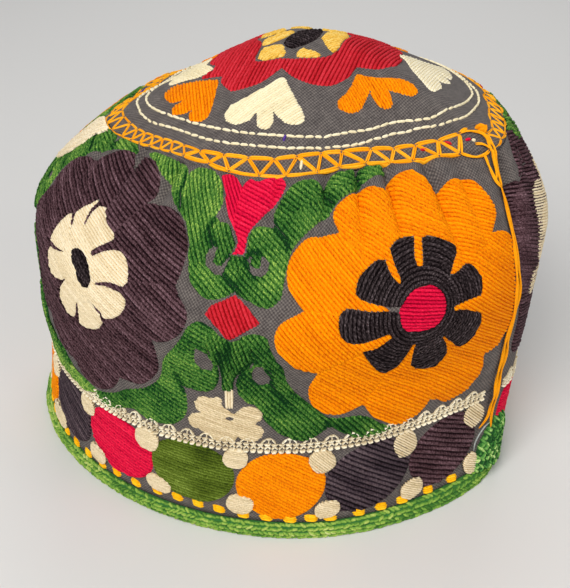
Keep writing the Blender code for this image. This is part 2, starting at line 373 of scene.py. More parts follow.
def linkPiece(name, mesh, material, *replaced):
    mesh.materials.append(material)
    piece = bpy.data.objects.new(name, mesh)
    bpy.context.scene.collection.objects.link(piece)
    if replaced:
        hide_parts(*replaced)
    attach(piece, "root")
    return piece


def clothMaterial(name):
    # Plain-woven grey cotton: a dry, speckled surface where pale warp crosses darker weft, unevenly worn; the colour
    # follows the weave's bump, down to painted shade where the weave lies low
    material, tree, shader = newMaterial(name)
    flat = addNode(tree, "UVMap", uv_map="flat")
    noise = addNode(tree, "TexNoise", {"Vector": flat.outputs[0], "Scale": 0.35, "Detail": 3.0})
    bent = addNode(tree, "VectorMath", {0: noise.outputs["Color"], "Scale": 0.5}, operation="SCALE")
    moved = addNode(tree, "VectorMath", {0: flat.outputs[0], 1: bent.outputs[0]})
    split = addNode(tree, "SeparateXYZ", {0: moved.outputs[0]})
    turns = math.pi / cloth["threadSpacing"]
    waves = [reckon(tree, "SINE", reckon(tree, "MULTIPLY", split.outputs[axis], turns)) for axis in ("X", "Y")]
    over = reckon(tree, "MULTIPLY", *waves)
    lift = addNode(tree, "MapRange", {"Value": over, "From Min": -1.0, "From Max": 1.0})
    fibre = addNode(tree, "TexNoise", {"Vector": flat.outputs[0], "Scale": 1.4, "Detail": 4.0, "Roughness": 0.75})
    worn = addNode(tree, "TexNoise", {"Vector": flat.outputs[0], "Scale": 0.28, "Detail": 3.0, "Roughness": 0.6})
    both = reckon(tree, "MULTIPLY_ADD", lift.outputs[0], 0.55, fibre.outputs[0])
    patchy = reckon(tree, "MULTIPLY_ADD", worn.outputs[0], 0.6, both)
    tone = addNode(tree, "MapRange", {"Value": patchy, "From Min": 0.68, "From Max": 1.48})
    ramp = addNode(tree, "ValToRGB", {"Fac": tone.outputs[0]})
    setRamp(ramp, ((0.0, cloth["shade"]), (0.5, cloth["weft"]), (1.0, cloth["warp"])))
    tree.links.new(ramp.outputs["Color"], shader.inputs["Base Color"])
    bump = addNode(tree, "Bump", {"Height": both, "Strength": 0.8, "Distance": 0.0004})
    tree.links.new(bump.outputs[0], shader.inputs["Normal"])
    shader.inputs["Roughness"].default_value = 0.95
    shader.inputs["Specular IOR Level"].default_value = 0.1
    shader.inputs["Sheen Weight"].default_value = 0.06
    shader.inputs["Sheen Roughness"].default_value = 0.6
    return material


def gridMesh(name, segments, place, flat=None, closePole=False):
    # a grid laid on a surface: place turns shares of its two sides into points, flat into a UV map in mm
    bm = bmesh.new()
    bmesh.ops.create_grid(bm, x_segments=segments[0], y_segments=segments[1], size=0.5)
    share = (np.array([vert.co[:2] for vert in bm.verts]) + 0.5).T
    if flat:
        layer = bm.loops.layers.uv.new("flat")
        uv = np.stack(flat(*share), axis=1)
        for face in bm.faces:
            for loop in face.loops:
                loop[layer].uv = uv[loop.vert.index]
    for vert, point in zip(bm.verts, place(*share) * mm):
        vert.co = point
    bmesh.ops.remove_doubles(bm, verts=bm.verts, dist=1e-6)
    if closePole:
        bmesh.ops.dissolve_degenerate(bm, edges=bm.edges, dist=1e-6)
    bmesh.ops.recalc_face_normals(bm, faces=bm.faces)
    mesh = bpy.data.meshes.new(name)
    bm.to_mesh(mesh)
    bm.free()
    mesh.shade_smooth()
    return mesh


def clothSheet(name, segments, surface, cut, flat, replaced, closePole=False):
    mesh = gridMesh(name, segments, lambda a, b: surface(*cut(a, b))[0], flat, closePole)
    piece = linkPiece(name, mesh, clothMaterial("greyCotton_" + name), replaced)
    wall = piece.modifiers.new("thickness", "SOLIDIFY")
    wall.thickness = cap["cloth"] * mm
    wall.offset = -1.0
    wall.use_even_offset = False


def wallStrip(low, high):  # once round the cap between two heights of the chart
    return lambda a, b: (a * girth, low + (high - low) * b)


def crownPolar(a, b):  # b runs from the tip to the seam
    azimuth = a * 360.0
    radius = crownEdge(azimuth) * cloth["crownShare"] * b
    return radius * np.sin(np.radians(azimuth)), -radius * np.cos(np.radians(azimuth))


edgeTop = 6.3  # v where the edging covers the band
clothSheet("wall_cloth", cloth["wallSegments"], onWall,
           wallStrip(laceV + cloth["laceGap"], seamV - cloth["seamGap"]), wallStrip(laceV, seamV), "side_wall")
clothSheet("band_cloth", cloth["bandSegments"], onWall,
           wallStrip(edgeTop, laceV - cloth["laceGap"]), wallStrip(edgeTop, laceV), "lower_band")
clothSheet("crown_cloth", cloth["crownSegments"], onCrown, crownPolar, crownPolar, "crown_panel", closePole=True)
print("cloth made")

# Thread

random = np.random.RandomState(7)
noiseGrid = random.rand(64, 64)


def smoothNoise(x, y):  # value noise that repeats every 64 cells
    x, y = np.broadcast_arrays(np.asarray(x, float), np.asarray(y, float))
    i, j = np.floor(x).astype(int), np.floor(y).astype(int)
    s, t = x - i, y - j
    s, t = s * s * (3 - 2 * s), t * t * (3 - 2 * t)
    i, j, k, l = i % 64, j % 64, (i + 1) % 64, (j + 1) % 64
    near = noiseGrid[i, j] * (1 - s) + noiseGrid[k, j] * s
    return near * (1 - t) + (noiseGrid[i, l] * (1 - s) + noiseGrid[k, l] * s) * t


cotton = {  # noises by their scale along and across the thread
    "drift": (0.5, 0.6),
    "fibres": (0.62, 3.6),
    "specks": (1.9, 4.5),
    "specked": 0.45,  # share of the specks beside the fibres
    "twist": 1.3,  # mm
    "plyMarks": 0.045,
    "roughness": 0.75,
    "gloss": 0.05,
}


def threadMaterial(name, colours, fleckAndGlint=0.4, paintedGrooveShade=0.36):
    # Embroidery cotton: soft dull threads with slanting ply marks and fine fibres in the bump; the colour follows that
    # bump, with painted highlight on raised ply and fibres beside the yarn's own flecks, and painted shade in the
    # grooves between rows
    material, tree, shader = newMaterial(name)
    along = addNode(tree, "UVMap", uv_map="along")
    split = addNode(tree, "SeparateXYZ", {0: along.outputs[0]})

    def drawnOut(scale, detail, roughness=0.5):  # noise with its own scale along and across the thread
        mapping = addNode(tree, "Mapping", {"Vector": along.outputs[0], "Scale": (*cotton[scale], 1.0)})
        return addNode(tree, "TexNoise", {"Vector": mapping.outputs[0], "Scale": 1.0, "Detail": detail,
                                          "Roughness": roughness}).outputs[0]

    slant = reckon(tree, "MULTIPLY_ADD", split.outputs["X"], 1.0 / cotton["twist"], split.outputs["Y"])
    turn = reckon(tree, "MULTIPLY_ADD", drawnOut("drift", 1.0), 2.4, slant)
    wave = reckon(tree, "SINE", reckon(tree, "MULTIPLY", turn, 2 * math.pi))
    pair = addNode(tree, "Mix", {0: cotton["specked"], 2: drawnOut("fibres", 2.0, 0.65), 3: drawnOut("specks", 1.0)})
    height = reckon(tree, "MULTIPLY_ADD", wave, cotton["plyMarks"], pair.outputs[0])
    tone = addNode(tree, "Attribute", attribute_name="tone")
    # the colour follows the bump height: painted highlight on raised ply and fibres and painted shade in their hollows,
    # beside the yarn's own flecks
    mixed = reckon(tree, "MULTIPLY_ADD", reckon(tree, "SUBTRACT", height, 0.5), 3.0 * fleckAndGlint, tone.outputs["Fac"])
    # painted shade: both edges of each row darken, for the grooves between rows
    aside = reckon(tree, "ABSOLUTE", reckon(tree, "SUBTRACT", split.outputs["Y"], 0.5))
    dark = addNode(tree, "MapRange", {"Value": aside, "From Min": 0.16, "From Max": 0.42, "To Min": 0.0,
                                      "To Max": -paintedGrooveShade})
    ramp = addNode(tree, "ValToRGB", {"Fac": reckon(tree, "ADD", mixed, dark.outputs[0])})
    setRamp(ramp, [(k / (len(colours) - 1), colour) for k, colour in enumerate(colours)])
    tree.links.new(ramp.outputs["Color"], shader.inputs["Base Color"])
    bump = addNode(tree, "Bump", {"Height": height, "Strength": 0.8, "Distance": 0.0004})
    tree.links.new(bump.outputs[0], shader.inputs["Normal"])
    shader.inputs["Roughness"].default_value = cotton["roughness"]
    shader.inputs["Specular IOR Level"].default_value = cotton["gloss"]
    return material


def arrayPiece(name, parts, material, *replaced):  # joins many small strips: points, faces, uv and tone of each
    points, faces, uvs, tones, base = [], [], [], [], 0
    for partPoints, partFaces, partUv, partTone in parts:
        points.append(partPoints)
        faces.append(partFaces + base)
        uvs.append(partUv)
        tones.append(partTone)
        base += len(partPoints)
    faces, uv = np.concatenate(faces), np.concatenate(uvs)
    mesh = bpy.data.meshes.new(name)
    mesh.from_pydata((np.concatenate(points) * mm).tolist(), [], faces.tolist())
    mesh.uv_layers.new(name="along").data.foreach_set("uv", uv[faces.ravel()].ravel())
    mesh.attributes.new("tone", "FLOAT", "POINT").data.foreach_set("value", np.concatenate(tones).clip(0, 1))
    mesh.shade_smooth()
    linkPiece(name, mesh, material, *replaced)
    print(name, 2 * len(faces), "triangles")


def gridFaces(rows, columns, closed=False):
    i, j = np.meshgrid(np.arange(rows - 1), np.arange(columns if closed else columns - 1), indexing="ij")
    i, j, k = i.ravel(), j.ravel(), (j.ravel() + 1) % columns
    return np.stack((i * columns + j, i * columns + k, (i + 1) * columns + k, (i + 1) * columns + j), axis=1)


def oval(u, v, halfWidth, halfHeight, tilt=0.0, corner=2.0):
    a = np.linspace(0, 2 * math.pi, 40, endpoint=False)
    c, s = np.cos(a), np.sin(a)
    x = halfWidth * np.sign(c) * np.abs(c) ** (2 / corner)
    y = halfHeight * np.sign(s) * np.abs(s) ** (2 / corner)
    t = math.radians(tilt)
    return np.stack((u + x * math.cos(t) - y * math.sin(t), v + x * math.sin(t) + y * math.cos(t)), axis=1)


def moved(outline, shift=0.0, mirrorAt=None):
    outline = outline.copy()
    if mirrorAt is not None:
        outline[:, 0] = 2 * mirrorAt - outline[:, 0]
    outline[:, 0] += shift
    return outline


thread = {
    "height": 0.78,  # of a row above the cloth
    "sunk": 0.12,
    "step": 0.8,  # mm between rings along a row
    "stitch": 3.1,  # mm between couching stitches
    "dip": 0.3,  # how far a couching stitch presses the row
    "shares": np.array((-0.62, -0.24, 0.24, 0.62)),  # across a row, wide enough to overlap the next
    "arch": np.array((0.0, 1.0, 1.0, 0.0)),  # rise at those shares
    "slant": 3.5,  # mm that a row's end may slant along the outline
    "shortest": 0.6,  # mm
    "stray": 0.3,  # of the pitch, sideways
    "strayLength": 9.0,  # mm
    "toneLength": 11.0,  # mm
    "endLength": 0.7,  # mm over which a row rises from the cloth
    "creaseWidth": 0.75,  # mm
    "creaseSink": 0.7,  # share of a row's height
    # painted shade that darkens the rows in the creases
    "creaseShade": 0.75,
}


def crossings(outlines, direction, across, s):  # where a line enters and leaves the shape
    found = []
    for outline in outlines:
        t, side = outline @ direction, outline @ across - s
        t1, side1 = np.roll(t, -1), np.roll(side, -1)
        cut = (side < 0) != (side1 < 0)
        found.append(t[cut] + (t1[cut] - t[cut]) * side[cut] / (side[cut] - side1[cut]))
    return np.sort(np.concatenate(found)).reshape(-1, 2)


def clipped(spans, limits):  # the parts of the spans that lie inside the limits
    both = [(max(a, c), min(b, d)) for a, b in spans for c, d in limits if min(b, d) > max(a, c)]
    return np.array(both).reshape(-1, 2)


def continued(spans, start, end, low, high):  # the part of a neighbouring line's spans that goes with this one
    beside = [(a, b) for a, b in spans if min(b, end) > max(a, start)]
    if not beside:
        return ((start + end) / 2,) * 2
    slant = thread["slant"]
    return min(max(beside[0][0], low, start - slant), end), max(min(beside[-1][1], high, end + slant), start)


def creased(u, v, creases):  # how deep points lie in the creases between the lobes of a motif, from 0 to 1
    starts = np.concatenate([line[:-1] for line in creases])
    spans = np.concatenate([np.diff(line, axis=0) for line in creases])
    reach = np.stack(np.broadcast_arrays(u, v), axis=-1)[..., None, :] - starts
    share = np.clip((reach * spans).sum(-1) / (spans ** 2).sum(-1), 0, 1)
    gap = np.linalg.norm(reach - share[..., None] * spans, axis=-1).min(axis=-1)
    return np.exp(-(gap / thread["creaseWidth"]) ** 2)


def fillRows(outlines, place, angle, pitch, tone=0.5, toneSpread=0.12, mottle=None, height=thread["height"],
             within=None, clear=(), lift=0.0, fray=0.0, dip=thread["dip"], creases=()):
    # couched thread rows a pitch apart that fill the even-odd inside of the outlines, sloping down to the right
    slope = math.radians(angle)
    direction = np.array((math.cos(slope), -math.sin(slope)))
    across = np.array((math.sin(slope), math.cos(slope)))
    reach = np.concatenate([outline @ across for outline in outlines])

    def spansAt(s):
        spans = crossings(outlines, direction, across, s)
        if within is not None:
            spans = clipped(spans, crossings([within], direction, across, s))
        for outline in clear:  # left free for the motif beside this one
            edges = crossings([outline], direction, across, s).ravel()
            spans = clipped(spans, np.concatenate(((-math.inf,), edges, (math.inf,))).reshape(-1, 2))
        return spans

    strips = []
    shares, stray = thread["shares"], thread["stray"] * pitch
    for k in range(math.floor(reach.min() / pitch), math.ceil(reach.max() / pitch) + 1):
        centre = (k + 0.5) * pitch
        spans = spansAt(centre)
        if not len(spans):
            continue
        lines = [spansAt(centre + share * pitch) for share in shares]
        for n, (first, last) in enumerate(spans):
            length = last - first
            if length < thread["shortest"]:
                continue
            low = (spans[n - 1][1] + first) / 2 if n else -math.inf
            high = (spans[n + 1][0] + last) / 2 if n + 1 < len(spans) else math.inf
            start, end = np.array([continued(line, first, last, low, high) for line in lines]).T
            start, end = start - fray * random.rand(), end + fray * random.rand()
            count = max(4, int(length / thread["step"]) + 2)
            run = np.linspace(0, 1, count)[:, None]
            t = start + (end - start) * run
            wander = smoothNoise(t / thread["strayLength"], k * 0.31 + 5) - 0.5
            s = centre + shares * pitch + stray * wander * np.minimum(1, 4 * run * (1 - run))
            u, v = t * direction[0] + s * across[0], t * direction[1] + s * across[1]
            ends = np.minimum(1, np.minimum(run, 1 - run) * length / thread["endLength"]) ** 0.5
            phase = 2 * math.pi * (t / thread["stitch"] + k * 0.37 + smoothNoise(t / 6.0, k * 1.9))
            rowHeight = height * (0.85 + 0.3 * smoothNoise(k * 1.7, n + angle))
            full = rowHeight * (1 - dip * (0.5 + 0.5 * np.cos(phase))) * ends + thread["sunk"]
            fold = creased(u, v, creases) if len(creases) else 0.0
            rise = thread["arch"] * (full + lift) * (1 - thread["creaseSink"] * fold) - thread["sunk"]
            points, _ = place(u, v, rise)
            rowTone = tone + 2 * toneSpread * (smoothNoise(t / thread["toneLength"] + k * 3.1, k * 2.3) - 0.5)
            # painted shade darkens the rows in the creases between lobes
            rowTone = rowTone + (mottle(u, v) if mottle else 0.0) - thread["creaseShade"] * fold
            uv = np.stack((t + 7.7 * k, np.broadcast_to(shares / (2 * shares[-1]) + 0.5, t.shape)), axis=-1)
            strips.append((points.reshape(-1, 3), gridFaces(count, len(shares)), uv.reshape(-1, 2),
                           (rowTone + 0 * t).ravel()))
    return strips


def roundRows(outer, inner, centre, cutAt, pitch, shift=0.0, **details):
    # rows that run round a centre between two closed outlines, from one side of a slit to the other
    spread = 15.0  # mm round the centre for each radian

    def unrolled(outline):
        offset = outline - centre
        turn = np.radians((np.degrees(np.arctan2(offset[:, 1], offset[:, 0])) - cutAt) % 360)
        line = np.stack((turn * spread, np.hypot(*offset.T)), axis=1)
        line = np.roll(line, -1 - np.argmax(np.abs(np.diff(line[:, 0], append=line[0, 0]))), axis=0)
        return line if line[-1, 0] > line[0, 0] else line[::-1]

    def place(t, r, lift):
        turn = np.radians(cutAt) + t / spread
        return onWall(centre[0] + r * np.cos(turn) + shift, centre[1] + r * np.sin(turn), lift)

    ring = np.vstack((unrolled(outer), unrolled(inner)[::-1]))
    return fillRows([ring], place, 0, pitch, **details)


# Single stitches and laid threads


def taper(run, ends=0.35):  # share of full width along a stitch, down to that of its ends
    return ends + (1 - ends) * np.sqrt(np.clip(1 - (2 * run - 1) ** 4, 0, 1))


def sideways(starts, ends):  # unit vectors to the left of each stitch
    along = unit(ends - starts)
    return np.stack((-along[:, 1], along[:, 0]), axis=1)


def stitches(place, starts, ends, width, height, tone=0.5, bow=0.0, rings=6):
    # separate short stitches, rounded on top and sunk at both ends
    starts, ends = np.asarray(starts, float), np.asarray(ends, float)
    count = len(starts)
    run = np.linspace(0, 1, rings)
    width, height, tone, bow = (np.broadcast_to(value, count).astype(float) for value in (width, height, tone, bow))
    across = sideways(starts, ends)
    middle = starts[:, None] * (1 - run[:, None]) + ends[:, None] * run[:, None]
    middle = middle + across[:, None] * (bow[:, None] * 4 * run * (1 - run))[..., None]
    shares = np.array((-0.5, -0.28, 0.0, 0.28, 0.5))
    arch = np.array((0.0, 0.82, 1.0, 0.82, 0.0))
    reach = width[:, None, None] * taper(run)[:, None] * shares
    flat = middle[:, :, None] + across[:, None, None] * reach[..., None]
    rise = height[:, None, None] * (taper(run, 0.1)[:, None] * arch) - thread["sunk"]
    points, _ = place(flat[..., 0], flat[..., 1], rise)
    length = np.linalg.norm(ends - starts, axis=1)[:, None, None] * run[:, None]
    offset = 7.3 * np.arange(count)[:, None, None]  # a different stretch of the fibre pattern for each
    uv = np.stack(np.broadcast_arrays(length + offset, shares + 0.5), axis=-1)
    tones = np.broadcast_to(tone[:, None, None], points.shape[:3])
    size = rings * len(shares)
    faces = (gridFaces(rings, len(shares))[None] + size * np.arange(count)[:, None, None]).reshape(-1, 4)
    return [(points.reshape(-1, 3), faces, uv.reshape(-1, 2), tones.ravel())]


def curveThrough(points, step, fewest):  # smooth through all the points, open at its last one
    padded = np.vstack((2 * points[0] - points[1], points, 2 * points[-1] - points[-2]))
    curve = []
    for p0, p1, p2, p3 in zip(padded, padded[1:], padded[2:], padded[3:]):
        count = max(fewest, int(np.linalg.norm(p2 - p1) / step))
        t = np.arange(count)[:, None] / count
        curve.append(0.5 * (2 * p1 + (p2 - p0) * t + (2 * p0 - 5 * p1 + 4 * p2 - p3) * t ** 2
                            + (3 * p1 - p0 - 3 * p2 + p3) * t ** 3))
    return np.vstack(curve)


def laidThread(place, line, width, thickness, plies=2, twist=7.0, tone=0.5):
    # a thread laid on the surface along chart points (u, v, lift), with its plies turning round each other
    line = np.array(line, float)
    curve = np.vstack((curveThrough(line, 1.0, 2), line[-1:]))
    centre, up = place(curve[:, 0], curve[:, 1], curve[:, 2])
    along = unit(np.gradient(centre, axis=0))
    side = unit(np.cross(along, up))
    up = np.cross(side, along)
    length = np.concatenate(((0,), np.cumsum(np.linalg.norm(np.diff(centre, axis=0), axis=1))))
    run = length / length[-1]
    plyShare, apart = (0.62, 0.25) if plies > 1 else (1.0, 0.0)  # of the width: a ply's own, and out of the middle
    sides = 7
    around = 2 * math.pi * np.arange(sides) / sides
    parts = []
    for ply in range(plies):
        turn = 2 * math.pi * (length / twist + ply / plies)
        out = apart * width
        middle = centre + side * (out * np.cos(turn))[:, None] + up * (0.5 * out * np.sin(turn))[:, None]
        ring = side[:, None] * (np.cos(around) * width / 2)[:, None]
        ring = ring + up[:, None] * (np.sin(around) * thickness / 2)[:, None]
        points = middle[:, None] + ring * taper(run, 0.3)[:, None, None] * plyShare
        uv = np.stack(np.broadcast_arrays(length[:, None] + 3 * ply, np.arange(sides) / sides), axis=-1)
        faces = gridFaces(len(curve), sides, closed=True)[:, ::-1]
        parts.append((points.reshape(-1, 3), faces, uv.reshape(-1, 2), np.full(len(curve) * sides, tone)))
    return parts


def lobes(*runs):  # closed outline: smooth along each run, with a sharp notch where the next run starts
    runs = [np.array((*run, following[0]), float) for run, following in zip(runs, runs[1:] + runs[:1])]
    return np.concatenate([curveThrough(run, 1.5, 1) for run in runs])


# Wall motifs: large flowers and vines in turn, about 59 mm from one to the next

flower = {  # the flower with the dark inner rosette, to the right of the front
    "at": (39.0, 91.0),
    "pitch": {"petals": 1.15, "rosette": 1.3, "centre": 1.1},
    "slit": 168.5,  # direction of the left slit of the rosette
    "petals": (  # the notch where each petal starts, clockwise, and the slope of its rows
        ((1.8, 93.9), 44), ((11.8, 115.1), 33), ((32.1, 124.9), 25), ((55.1, 122.5), 27), ((72.5, 106.3), 40),
        ((67.1, 61.4), 38), ((49.6, 49.6), 36), ((24.6, 55), 41), ((8.6, 71.1), 48),
    ),
    "outer": lobes(
        ((11.8, 115.1), (9.1, 118.6), (9.6, 122.1), (16.4, 125.4), (25, 126.6)),
        ((32.1, 124.9), (35.7, 127.9), (46.4, 129.1), (52.1, 126.8)),
        ((55.1, 122.5), (64.3, 125.4), (72.1, 122.9), (77, 113.6), (76.1, 110)),
        ((72.5, 106.3), (77.9, 105.2), (82.4, 101.4), (82.3, 97.1), (81.1, 85.7), (80, 79.3), (77.9, 71.4),
         (72.9, 62.9)),
        ((67.1, 61.4), (68.2, 54.3), (65.7, 46.8), (61.4, 45), (56.4, 45)),
        ((49.6, 49.6), (47.1, 43.9), (40, 41.8), (31.4, 46.8), (27.9, 50)),
        ((24.6, 55), (17.1, 52.1), (9.3, 55.7), (6.6, 63.6)),
        ((8.6, 71.1), (0.7, 74.6), (-5, 82.1), (-4.9, 89.3)),
        ((1.8, 93.9), (-3.9, 100.4), (-4.9, 107.9), (-0.7, 113.6), (4.3, 114.6)),
    ),
    "rosette": lobes(
        ((17.5, 97.5), (17.5, 99.3), (18.6, 102.9), (22.1, 105.7), (25, 107.1)),
        ((27.5, 106.8), (28.9, 102.9)),
        ((31.8, 99.6),),
        ((32.1, 101.4), (30.7, 105)),
        ((29.6, 109.6), (32.1, 111.4), (35.7, 112.4)),
        ((39.3, 111.8), (37.9, 106.4)),
        ((38.4, 103.6),),
        ((40.2, 103.6), (41.4, 108.6)),
        ((42.1, 111.1), (45, 111.3), (49.3, 109.6), (53.6, 107.5)),
        ((55, 105.4), (52.1, 103.2)),
        ((48.9, 99.3), (52.9, 100)),
        ((57.5, 101.4), (60.4, 98.6), (61.6, 94.3)),
        ((61.4, 90.1), (54.3, 90.4)),
        ((50, 90),),
        ((50, 88.6), (54.3, 87.5)),
        ((57.9, 85.7), (61.4, 83.6), (62.5, 80.7), (60.7, 75), (57.9, 72.5), (55.7, 70.4)),
        ((53.9, 71.4), (51.4, 75)),
        ((46.8, 79.8), (49.6, 74.3)),
        ((50.7, 69.6), (49.3, 66.8), (46.4, 65.1), (41.4, 65.6)),
        ((38, 68.6), (37.7, 75.7)),
        ((37.9, 79.6),),
        ((37.1, 79.5), (35.4, 74.3)),
        ((33.6, 70), (30.4, 68.2), (27.1, 69.6), (24.3, 73.6)),
        ((21.1, 79.5), (25.7, 80.6)),
        ((30, 84),),
        ((28.9, 85.5), (25.7, 84.3)),
        ((21, 82.9), (17.1, 83.2), (14.3, 85.4), (13, 90), (13.2, 93.2), (15, 94.6)),
        ((17.1, 94.3), (22.1, 93.2)),
        ((28.2, 92.8),),
        ((27.9, 93.9), (22.1, 95.7)),
    ),
    "centre": lobes(
        ((39.3, 84.6), (43.5, 84.6), (46.6, 88), (46.7, 93.2), (44.2, 97.2), (39.2, 98.4), (34.4, 97.3),
         (31.4, 93.6), (31.2, 89), (34, 85.4)),
    ),
}
wideFlower = {  # the flower with the pale inner petals, to the left of the front
    "at": (-79.5, 91.0),
    "pitch": {"lobes": 1.35, "petals": 0.95, "centre": 1.3},
    "lobes": (  # as the petals above
        ((-119, 87), 22), ((-99.3, 121.8), 28), ((-79.6, 125.4), 18), ((-63.9, 116.8), 20), ((-40.2, 96.4), 27),
        ((-44.6, 76.8), 30), ((-56.1, 55), 26), ((-79.3, 50.4), 24), ((-109, 60), 20),
    ),
    "outer": lobes(
        ((-80.7, 125.4), (-82.9, 129.3), (-86.4, 129.3), (-90.7, 128.2), (-94.3, 126.1), (-97.5, 123.9)),
        ((-99.3, 121.8), (-103.6, 121.8), (-108.6, 120.4), (-114.3, 117.1), (-118.6, 111.4)),
        ((-118, 106), (-122, 100), (-123.6, 95), (-119, 87)),
        ((-113, 83), (-116, 76), (-115, 68), (-109, 60)),
        ((-100, 59.3), (-92.9, 54.3), (-89.3, 51.8), (-85, 51)),
        ((-79.3, 50.4), (-77.9, 47.9), (-73.6, 45.7), (-68.6, 45), (-64.3, 46.1), (-60, 48.6), (-57.1, 52.1)),
        ((-56.1, 55), (-47.9, 55.4), (-44.3, 57.9), (-41.8, 61.4), (-40.7, 65.7), (-42.9, 73.6)),
        ((-44.6, 76.8), (-40.7, 76.8), (-37.1, 79.3), (-34.6, 82.9), (-33.7, 87.1), (-34.6, 90.4), (-37.5, 93.2)),
        ((-40.2, 96.4), (-39.6, 101.4), (-40.2, 108), (-42.9, 112.1), (-46.4, 115.7), (-51.4, 117.9),
         (-60.7, 118.2)),
        ((-63.9, 116.8), (-62.1, 119.3), (-61.8, 121.1), (-63.6, 125), (-66.4, 127.1), (-70, 128.9),
         (-74.3, 129.6), (-77.9, 129.3)),
        ((-79.6, 125.4),),
    ),
    "petals": lobes(
        ((-83.6, 110.7), (-80.7, 111.3), (-78.6, 109.3), (-75, 106.8), (-70.7, 105.4)),
        ((-69.6, 103.7), (-73.6, 100.7), (-76.8, 98.2)),
        ((-77.1, 96.8),),
        ((-75.7, 96.3), (-72.1, 98.9), (-67.9, 100.7), (-64.3, 101.1), (-61.4, 99.6), (-59.3, 97.1), (-57.9, 93.6)),
        ((-59.3, 91.4), (-64.3, 91.4), (-67.9, 90.4)),
        ((-71.4, 89.1),),
        ((-70.7, 88.4), (-65.7, 89.6), (-58.6, 89.3)),
        ((-56.8, 87.9), (-56.8, 84.6), (-58.6, 81.4), (-60.7, 79.3)),
        ((-64.3, 77.6), (-67.9, 80.8)),
        ((-72.9, 81.8),),
        ((-67.6, 79.9),),
        ((-64.6, 76.2), (-66.4, 72.1), (-70, 69.6), (-75, 68.6)),
        ((-77.1, 69.6), (-77.6, 74)),
        ((-78.9, 78.6),),
        ((-79.1, 74),),
        ((-79.3, 71.4), (-80.7, 69.3), (-83.6, 69.3), (-87.9, 71.4), (-90.4, 75.7)),
        ((-90, 78.6), (-88.6, 81)),
        ((-86.4, 84.6),),
        ((-89.6, 81.9),),
        ((-94.3, 80.7), (-97.9, 81.4), (-100.7, 84.3), (-101.8, 88.6)),
        ((-100.7, 90.3), (-95.6, 90.9)),
        ((-90, 92.5),),
        ((-95.6, 91.9),),
        ((-101.1, 92.4), (-101.1, 94.4), (-100.4, 97.1), (-97.9, 101.4), (-95.7, 103.9)),
        ((-93.9, 104.6), (-92.8, 102.4)),
        ((-91.1, 100),),
        ((-91.9, 102.9),),
        ((-92.9, 105.4), (-90.7, 107.9), (-87.9, 110), (-85.6, 112.4)),
        ((-84.7, 112.9), (-86.3, 107.9)),
        ((-85.4, 101.4),),
        ((-85.3, 107.9),),
    ),
    "centre": lobes(
        ((-86.4, 95), (-83.6, 96.3), (-79.3, 95.7), (-75.7, 92.9), (-73.2, 88.9), (-73.9, 86.1), (-76.4, 85.4),
         (-79.3, 87.5), (-82.9, 90.7), (-85.7, 92.9)),
    ),
}
wideFlower["edgeLobe"] = lobes(  # beside the seam the top petal is wider
    ((97, 118.2), (98.8, 121), (97.6, 125.5), (98.4, 129.2), (101.5, 131.5), (107, 131.9), (113, 131.6),
     (119, 130.4)),
    ((118.6, 129), (114.9, 127.3), (112.2, 125.1), (110.4, 121.3)),
    ((110.6, 119.4), (112.2, 117.4)),
    ((109.6, 118.6), (100.4, 118.3)),
)
wideFlower["edgeBody"] = lobes(  # and its left side reaches the cord
    ((85.0, 117.6), (85.4, 110), (85.4, 100), (85.0, 92), (84.4, 84.5), (84.3, 79.5), (83.8, 73), (83.0, 66.5),
     (82.1, 60), (82.6, 55.6)),
    ((86, 51.8), (90.5, 50.6), (95, 52), (98.5, 57), (100, 64)),
    ((104, 76), (101, 95), (99, 110)),
    ((95, 117.9), (90, 118.2)),
)
wideFlower["edgePetals"] = (
    lobes(((107, 109), (104.4, 106.6), (103.6, 103.4), (103.4, 99), (102.3, 93.5), (101.8, 88.6), (103.4, 83.8)),
          ((110, 82), (118, 86), (122, 95), (122, 104), (118, 108.6), (113, 110.4))),
    lobes(((96.6, 83.2), (94.6, 81), (92.3, 78.2), (91.6, 75.2), (94.5, 74.2), (99, 74.6), (105, 76), (110, 78)),
          ((110, 80.4), (103.5, 81.4))),
)
